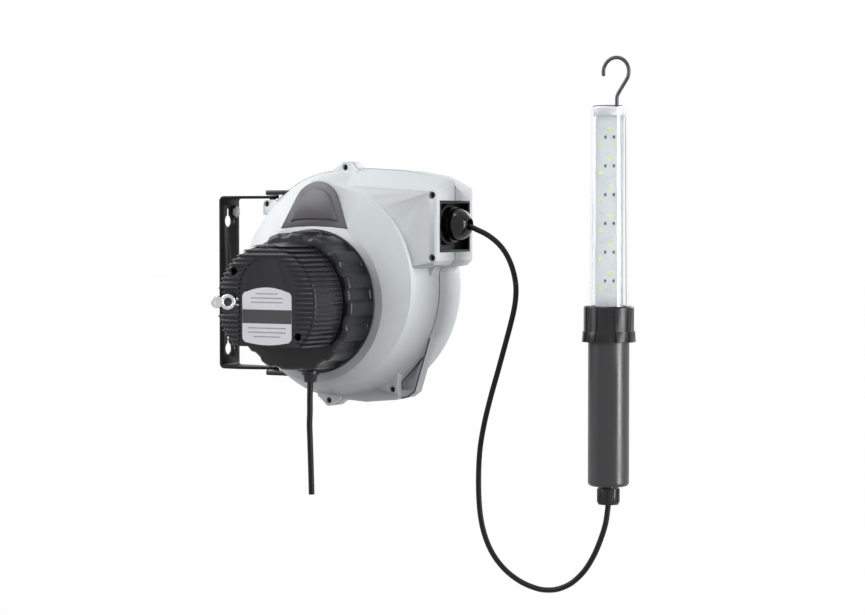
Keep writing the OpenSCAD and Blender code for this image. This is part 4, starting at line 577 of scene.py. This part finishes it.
# %% The bell as a grid of angle and depth
BELL_ROUND, BELL_PADS, PAD_TURN, PAD_HIGH = 73.0, 16, 18.0, 2.7
PAD_FILL, PAD_SOFT, POINTS_TO_A_PAD, EASE = 0.56, 0.62, 28, 2.0
BELL_FLAT, BELL_FRONT, BELL_BACK, BELL_ROLL = 72.5, -100.0, -56.0, 5.0
RIM_R, RIM_DEEP, RIM_EDGE = 78.0, 2.0, 0.5
MOUTH_R, MOUTH_FLAT, MOUTH_LIP = 60.4, 42.4, 2.5
INNER_FRONT_R, INNER_BACK_R, INNER_FLAT = 69.0, 70.4, 69.5
# Each side row: how far forward it lies, its draft over the plain radius, its share of a pad.
SIDE_ROWS = [(-58.0, 1.4, 0.9), (-58.6, 0.95, 1), (-62, 0.9, 1), (-70, 0.7, 1),
             (-80, 0.45, 1), (-88, 0.25, 1), (-92, 0.12, 1), (-95, 0, 1)]
turn = np.linspace(0, 2 * np.pi, BELL_PADS * POINTS_TO_A_PAD, endpoint=False)


def soft_step(value, low, high):
    """0 below low, 1 above high, and a smooth S between."""
    t = np.clip((value - low) / (high - low), 0, 1)
    return t * t * (3 - 2 * t)


def cut_flat(radius, level):
    """The radius where a level plane under the axis cuts the round, eased where the
    two meet: the soft minimum of the round's radius and level / -sin(angle)."""
    below = np.maximum(-np.sin(turn), 1e-3)
    flat = np.minimum(level / below, 400)
    return (radius + flat - np.sqrt((radius - flat) ** 2 + EASE)) / 2


wave = np.cos(BELL_PADS * (turn - math.radians(PAD_TURN)))
edge = math.cos(math.pi * PAD_FILL)
pad = PAD_HIGH * soft_step(wave, edge - PAD_SOFT, edge + PAD_SOFT)
rows = [(BELL_BACK, turn * 0 + RIM_R - RIM_EDGE), (BELL_BACK - RIM_EDGE, turn * 0 + RIM_R),
        (BELL_BACK - RIM_DEEP + RIM_EDGE, turn * 0 + RIM_R),
        (BELL_BACK - RIM_DEEP, turn * 0 + RIM_R - RIM_EDGE)]
for y, draft, share in SIDE_ROWS:
    rows.append((y, cut_flat(BELL_ROUND + draft + pad * share, BELL_FLAT)))
for a in np.linspace(10, 90, 9):
    roll = BELL_ROLL * (1 - math.cos(math.radians(a)))
    rows.append((BELL_FRONT + BELL_ROLL * (1 - math.sin(math.radians(a))),
                 cut_flat(BELL_ROUND + pad, BELL_FLAT) - roll))
opening = cut_flat(turn * 0 + MOUTH_R, MOUTH_FLAT)
rows += [(BELL_FRONT, opening), (BELL_FRONT + MOUTH_LIP, opening),
         (BELL_FRONT + MOUTH_LIP, cut_flat(turn * 0 + INNER_FRONT_R, INNER_FLAT)),
         (BELL_BACK, cut_flat(turn * 0 + INNER_BACK_R, INNER_FLAT)), rows[0]]
depth = np.array([y for y, _ in rows])[:, None] + 0 * turn
radius = np.array([r for _, r in rows])
points = np.stack([AXIS_X + radius * np.cos(turn), depth, AXIS_Z + radius * np.sin(turn)], -1)
faces = quads(len(rows), len(turn), around=True)
bell = keep_creases(outward(make_mesh("bell", points * MM, faces)), TUBE_CREASE)
gland_boss = turned("gland_boss", [(0, -90), (9.4, -90), (10.0, -89.7), (10.2, -89.2),
                                   (10.2, -72), (0, -72)], (166, -84, 0), "Z", count=64)
stands_for(joined("transformer_bell", [bell, gland_boss]), "transformer_base")
print("bell:", len(rows), "rows of", len(turn), "points")

# %% [markdown]
# ## The lamp's handle
# The handle is a smooth round moulding with a long shallow thumb rest in its front. Its
# radius is the profile's, less a hollow that is deepest on its own middle line and runs out
# softly to both sides and at the top.

# %% The handle as a grid of angle and height
HANDLE_R, HANDLE_LOW, HANDLE_TOP, HANDLE_EDGE = 21.3, -204.0, -55.0, 4.0
SPIGOT_R, SPIGOT_LOW, NECK_R, NECK_TOP, HANDLE_SIDES = 8, -217, 21.8, -32, 160
REST_TURN, REST_HALF, REST_DEEP, REST_STARTS, REST_FULL = -66.0, 30.0, 0.9, 64, 96
round_turn = np.linspace(0, 2 * np.pi, HANDLE_SIDES, endpoint=False)[None, :]
arc = np.radians(np.linspace(-90, 0, 9))
profile = [(0, SPIGOT_LOW), (SPIGOT_R, SPIGOT_LOW), (SPIGOT_R, HANDLE_LOW)]
profile += [(HANDLE_R + HANDLE_EDGE * (math.cos(a) - 1),
             HANDLE_LOW + HANDLE_EDGE * (1 + math.sin(a))) for a in arc]
profile += [(HANDLE_R, z) for z in np.linspace(HANDLE_LOW + HANDLE_EDGE + 0.5, HANDLE_TOP, 50)]
profile = np.array(profile + [(NECK_R, HANDLE_TOP), (NECK_R, NECK_TOP), (0, NECK_TOP)])
off_middle = (np.degrees(round_turn) - REST_TURN + 180) % 360 - 180
across = soft_step(1 - np.abs(off_middle) / REST_HALF, 0, 1)
plain, height = profile[:, 0][:, None], profile[:, 1][:, None]
deep = REST_DEEP * across * soft_step(-height, REST_STARTS, REST_FULL) * (plain > 2 * SPIGOT_R)
radius = plain - deep
points = np.stack([LAMP_X + radius * np.cos(round_turn), radius * np.sin(round_turn),
                   height + 0 * round_turn], -1)
faces = quads(len(profile), HANDLE_SIDES, around=True)
handle = keep_creases(outward(make_mesh("handle_with_rest", points * MM, faces)), 40)
stands_for(handle, "lamp_handle")
print("handle:", len(profile), "rows, thumb rest", REST_DEEP, "mm deep")

# %% [markdown]
# ## The rating label
# The label is a thin film whose upper and lower edges bow outwards. Its print is generic:
# a plain dark band across the middle and rows of short grey bars.

# %% Label film and its print
LABEL_X, LABEL_Z, LABEL_HALF, LABEL_UP = 153.0, -31.5, 31.25, 26.75
LABEL_CORNER, LABEL_FACE, LABEL_BACK = 6.0, -146.7, -146.4
TOP_BOW, LOW_BOW, INK_UP, INK_SUNK, BAR_HIGH = 4.5, 2.5, 0.05, 0.02, 1.3
BAND_HALF, BAND_LOW, BAND_TOP, BAND_UP = 31.0, -38.0, -23.5, 0.06
# Each bar: its lower edge and half its width.
BARS = [(-7.5, 14), (-12, 20), (-16.5, 20), (-43.5, 24), (-48, 24), (-52.5, 17)]


def half_outline(bow):
    """The outline's upper half from right to left: a quarter round, a bow whose height
    falls with the square of the distance from the middle, and a quarter round."""
    a = np.linspace(0, np.pi / 2, 9)[:-1]
    half, up = LABEL_HALF - LABEL_CORNER, LABEL_UP - LABEL_CORNER
    right = np.column_stack([half + LABEL_CORNER * np.cos(a), up + LABEL_CORNER * np.sin(a)])
    x = np.linspace(half, -half, 25)
    top = np.column_stack([x, LABEL_UP + bow * (1 - (x / half) ** 2)])
    left = right[::-1] * [-1, 1]
    return np.vstack([right, top, left])


outline = np.vstack([half_outline(TOP_BOW), -half_outline(LOW_BOW)]) + 1e-9
around = len(outline)
rings = [(1.0, LABEL_BACK), (1.0, LABEL_FACE + 0.1), (0.996, LABEL_FACE)]
points = np.stack([np.column_stack([LABEL_X + outline[:, 0] * k, np.full(around, y),
                                    LABEL_Z + outline[:, 1] * k]) for k, y in rings])
faces = quads(len(rings), around, around=True).tolist()
faces += [list(range(around)), list(range(2 * around, 3 * around))]
film = keep_creases(outward(make_mesh("label_film", points * MM, faces)), 30)
stands_for(film, "rating_label")


def slabs(name, boxes, degrees=0, centre=(0, 0, 0)):
    """Many small blocks as one piece: each row of boxes is x0, x1, y0, y1, z0, z1 in mm, and
    all are turned level about the centre."""
    boxes = np.asarray(boxes, float)
    pick = np.array([[i, j, k] for i in (0, 1) for j in (0, 1) for k in (0, 1)])
    corners = np.stack([boxes[:, pick[:, 0]], boxes[:, 2 + pick[:, 1]],
                        boxes[:, 4 + pick[:, 2]]], -1) @ level_turn(degrees)
    sides = np.array([(0, 1, 3, 2), (4, 6, 7, 5), (0, 4, 5, 1), (2, 3, 7, 6), (0, 2, 6, 4),
                      (1, 5, 7, 3)])
    faces = (sides[None] + 8 * np.arange(len(boxes))[:, None, None]).reshape(-1, 4)
    return outward(make_mesh(name, (corners + np.asarray(centre, float)) * MM, faces, False))


band = slabs("label_band", [(LABEL_X - BAND_HALF, LABEL_X + BAND_HALF, LABEL_FACE - BAND_UP,
                             LABEL_FACE + INK_SUNK, BAND_LOW, BAND_TOP)])
rows_of_bars = slabs("label_bars", [
    (LABEL_X - half, LABEL_X + half, LABEL_FACE - INK_UP, LABEL_FACE + INK_SUNK, z, z + BAR_HIGH)
    for z, half in BARS])
added(band, "reel_case", printed_ink)
added(rows_of_bars, "reel_case", pale_ink)
print("label outline:", around, "points")

# %% [markdown]
# ## The safety eye
# A cast and plated eye: a shank from the pocket's floor, a ring that stands out of the
# pocket turned towards the side, and a fat round knob on the ring's far edge. The ring is a
# torus, whose tube angle and ring angle are the two parameters of its grid.

# %% Ring, knob and shank
EYE_TURN, EYE_RING, EYE_WIRE, EYE_KNOB = 35.0, 6.3, 2.3, 6.7
KNOB_HALF, KNOB_LIP, KNOB_DISH, KNOB_SUNK = 3.0, 1.6, 0.4, 1.3
EYE = np.array([112.0, -147.4, -16.0])
around_ring = np.linspace(0, 2 * np.pi, 49)[:, None]
around_wire = np.linspace(0, 2 * np.pi, 24, endpoint=False)[None, :]
out = EYE_RING + EYE_WIRE * np.cos(around_wire)
torus = np.stack([out * np.cos(around_ring) - EYE_RING,
                  EYE_WIRE * np.sin(around_wire) + 0 * around_ring,
                  out * np.sin(around_ring)], -1) @ level_turn(EYE_TURN) + EYE
ring = keep_creases(outward(make_mesh("eye_ring", torus * MM, quads(49, 24, around=True))), 60)
knob_at = np.array([[KNOB_SUNK - 2 * EYE_RING - EYE_KNOB, 0, 0]]) @ level_turn(EYE_TURN) + EYE
a = np.radians(np.linspace(0, 90, 7))
lip = np.column_stack([EYE_KNOB - KNOB_LIP + KNOB_LIP * np.sin(a),
                       KNOB_LIP - KNOB_HALF - KNOB_LIP * np.cos(a)]).tolist()
knob_profile = [(0, KNOB_DISH - KNOB_HALF), (2.2, KNOB_DISH - KNOB_HALF), (3.0, -KNOB_HALF)] + lip
knob_profile += [(r, -h) for r, h in knob_profile[::-1]]
knob = turned("eye_knob", knob_profile, knob_at[0], "Y", count=48, crease=45,
              degrees=EYE_TURN)
shank = turned("eye_shank", [(0, -146.8), (2.5, -146.8), (2.5, -141), (2.9, -140.5),
                             (4.2, -140.4), (4.5, -140), (4.5, -138.4), (2.5, -138.4),
                             (2.5, -135.4), (0, -135.4)], (EYE[0], 0, EYE[2]), "Y", count=32)
stands_for(joined("plated_eye", [ring, knob, shank]), "safety_eye")

# %% [markdown]
# ## The hook
# Round wire, bent once: up out of the lamp's cap, over at a lean, and round into an open
# bend with a rounded tip. The tube's radius falls to nothing over the last wire radius.

# %% Hook wire
WIRE, BEND, NECK, LEAN = 1.95, 14.5, 12.0, math.radians(34)
STEM_X = LAMP_X + 8.5
BEND_X, BEND_Z, CAP_LOW = STEM_X - 1.0, 222.5, 177.25
leave = np.array([BEND_X + BEND * math.cos(LEAN), BEND_Z - BEND * math.sin(LEAN)])
fall = (leave[0] - STEM_X - NECK * (1 - math.cos(LEAN))) / math.sin(LEAN)
neck_top = leave - fall * np.array([math.sin(LEAN), math.cos(LEAN)])
neck = np.array([STEM_X + NECK, neck_top[1] - NECK * math.sin(LEAN)])
round_bend = np.radians(np.arange(190, -34, -4.0))
into_neck = np.pi - LEAN + LEAN * np.linspace(0, 1, 8)
wire = np.vstack([
    np.column_stack([BEND_X + BEND * np.cos(round_bend), BEND_Z + BEND * np.sin(round_bend)]),
    np.linspace(leave, neck_top, 5),
    np.column_stack([neck[0] + NECK * np.cos(into_neck), neck[1] + NECK * np.sin(into_neck)])[1:],
    [[STEM_X, neck[1] - 2], [STEM_X, CAP_LOW + 3], [STEM_X, CAP_LOW + 1]]])
tip = wire[0] - wire[1]
tip /= np.linalg.norm(tip)
angles = np.radians(np.linspace(88, 12, 6))
wire = np.vstack([wire[0] + WIRE * np.sin(angles)[:, None] * tip, wire])
girth = np.concatenate([WIRE * np.cos(angles), np.full(len(wire) - 6, WIRE)])
path = np.column_stack([wire[:, 0], 0 * girth, wire[:, 1]])
stands_for(tube_along("hook_bent_wire", path * MM, girth * MM, 20), "hook")
print("hook wire:", len(path), "rings, tip at", np.round(path[0], 1))

# %% [markdown]
# ## Small parts on the lamp's board
# Below each light of the middle row stand two dark resistors, one on either side.

# %% Resistors
BOARD_FRONT, TOP_LED, LED_PITCH, LED_COUNT, LAMP_TURN = -5.6, 163.0, 29.5, 6, 30
ASIDE, BELOW, HALF_WIDE, HALF_TALL, STANDS_OUT, SUNK = 4.3, 7.5, 1.05, 1.55, 0.85, 0.05
led_rows = TOP_LED - LED_PITCH * np.arange(LED_COUNT)
blocks = [(u - HALF_WIDE, u + HALF_WIDE, BOARD_FRONT - STANDS_OUT, BOARD_FRONT + SUNK,
           z - BELOW - HALF_TALL, z - BELOW + HALF_TALL)
          for z in led_rows for u in (-ASIDE, ASIDE)]
added(slabs("board_resistors", blocks, LAMP_TURN, (LAMP_X, 0, 0)), "lamp",
      carbon_block)
print(len(blocks), "resistors")

# %% [markdown]
# ## What the cords are
# Each cord has its real length and thickness. The supply cord hangs on the reel and ends
# bare. The lamp's cord is meant to be blended between the reel and the lamp along a slanting
# line, every point beyond the line's far end riding with the lamp; that blend is not made
# here, and its tube is only fixed where it lies. Known fault: the cord's first stretch at the
# ball lies beyond that end too, so it leaves the ball as the lamp is lifted.

# %% The cords are painted and replace their solids; the supply cord rides on the reel
paint([lamp_cord, supply_cord], jacket)
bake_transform(lamp_cord)
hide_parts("lamp_cord")
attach(supply_cord, "reel_case")
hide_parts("supply_cord")

# %% [markdown]
# ## Floor, world and lamps
# A pale floor far below, a white surround, and four large soft lamps at a plain level. The
# key lamp stands at the upper left, a tall strip on the right draws the bright edges, a small
# one above lights the top of the case and a rim lamp lights the back.

# %% Floor and world
FLOOR_Z, FLOOR_HALF, FLOOR_GREY = -0.9, 30.0, 0.16
SEEN_SHARE, SEEN_GLOW, SOFT_LIGHT = 0.97, 1.02, 0.35
WHITE = (1, 1, 1, 1)
corner = np.array([(-1, -1), (1, -1), (1, 1), (-1, 1)]) * FLOOR_HALF
floor = make_mesh("floor", np.column_stack([corner, np.full(4, FLOOR_Z)]), [(0, 1, 2, 3)])


def seen_directly(tree):
    """1 for what the camera sees straight, in a mirror or through glass; 0 for light."""
    path = put(tree, "ShaderNodeLightPath").outputs
    first = put(tree, "ShaderNodeMath", {"operation": "MAXIMUM"},
                _0=path["Is Camera Ray"], _1=path["Is Glossy Ray"])
    return put(tree, "ShaderNodeMath", {"operation": "MAXIMUM"},
               _0=first.outputs[0], _1=path["Is Transmission Ray"]).outputs[0]


floor_material = bpy.data.materials.new("pale_floor")
floor_material.use_nodes = True
tree = floor_material.node_tree
tree.nodes.clear()
chalk = put(tree, "ShaderNodeBsdfDiffuse", Color=(FLOOR_GREY, FLOOR_GREY, FLOOR_GREY, 1))
glow = put(tree, "ShaderNodeEmission", Color=WHITE, Strength=SEEN_GLOW)
share = put(tree, "ShaderNodeMath", {"operation": "MULTIPLY"}, _0=seen_directly(tree),
            _1=SEEN_SHARE)
both = put(tree, "ShaderNodeMixShader", _0=share.outputs[0], _1=chalk.outputs[0],
           _2=glow.outputs[0])
end = put(tree, "ShaderNodeOutputMaterial")
tree.links.new(both.outputs[0], end.inputs["Surface"])
floor.data.materials.append(floor_material)

world = bpy.data.worlds.new("surround")
bpy.context.scene.world = world
world.use_nodes = True
tree = world.node_tree
tree.nodes.clear()
soft = put(tree, "ShaderNodeBackground", Color=WHITE, Strength=SOFT_LIGHT)
white = put(tree, "ShaderNodeBackground", Color=WHITE, Strength=1.0)
both = put(tree, "ShaderNodeMixShader", _0=seen_directly(tree), _1=soft.outputs[0],
           _2=white.outputs[0])
end = put(tree, "ShaderNodeOutputWorld")
tree.links.new(both.outputs[0], end.inputs["Surface"])

# %% Lamps
def soft_lamp(name, place, target, wide, tall, power):
    """An oblong area lamp at place, facing target."""
    data = bpy.data.lights.new(name, "AREA")
    data.shape = "RECTANGLE"
    data.size, data.size_y, data.energy = wide, tall, power
    lamp = bpy.data.objects.new(name, data)
    bpy.context.scene.collection.objects.link(lamp)
    lamp.location = place
    lamp.rotation_euler = (Vector(target) - Vector(place)).to_track_quat("-Z", "Y").to_euler()


soft_lamp("key", (-1.8, -1.2, 1.3), (0.2, 0, 0), 2.0, 2.0, 74)
soft_lamp("top", (0.1, -0.7, 2.2), (0.2, 0, 0), 0.7, 0.7, 8)
soft_lamp("right_strip", (2.45, -0.05, 0.15), (0.3, 0, 0), 0.6, 1.8, 54)
soft_lamp("rim", (0.5, 2.3, 1.0), (0.2, 0, 0), 1.4, 1.4, 20)
bpy.context.scene.view_settings.view_transform = "Standard"
print("lamps:", len(bpy.data.lights))
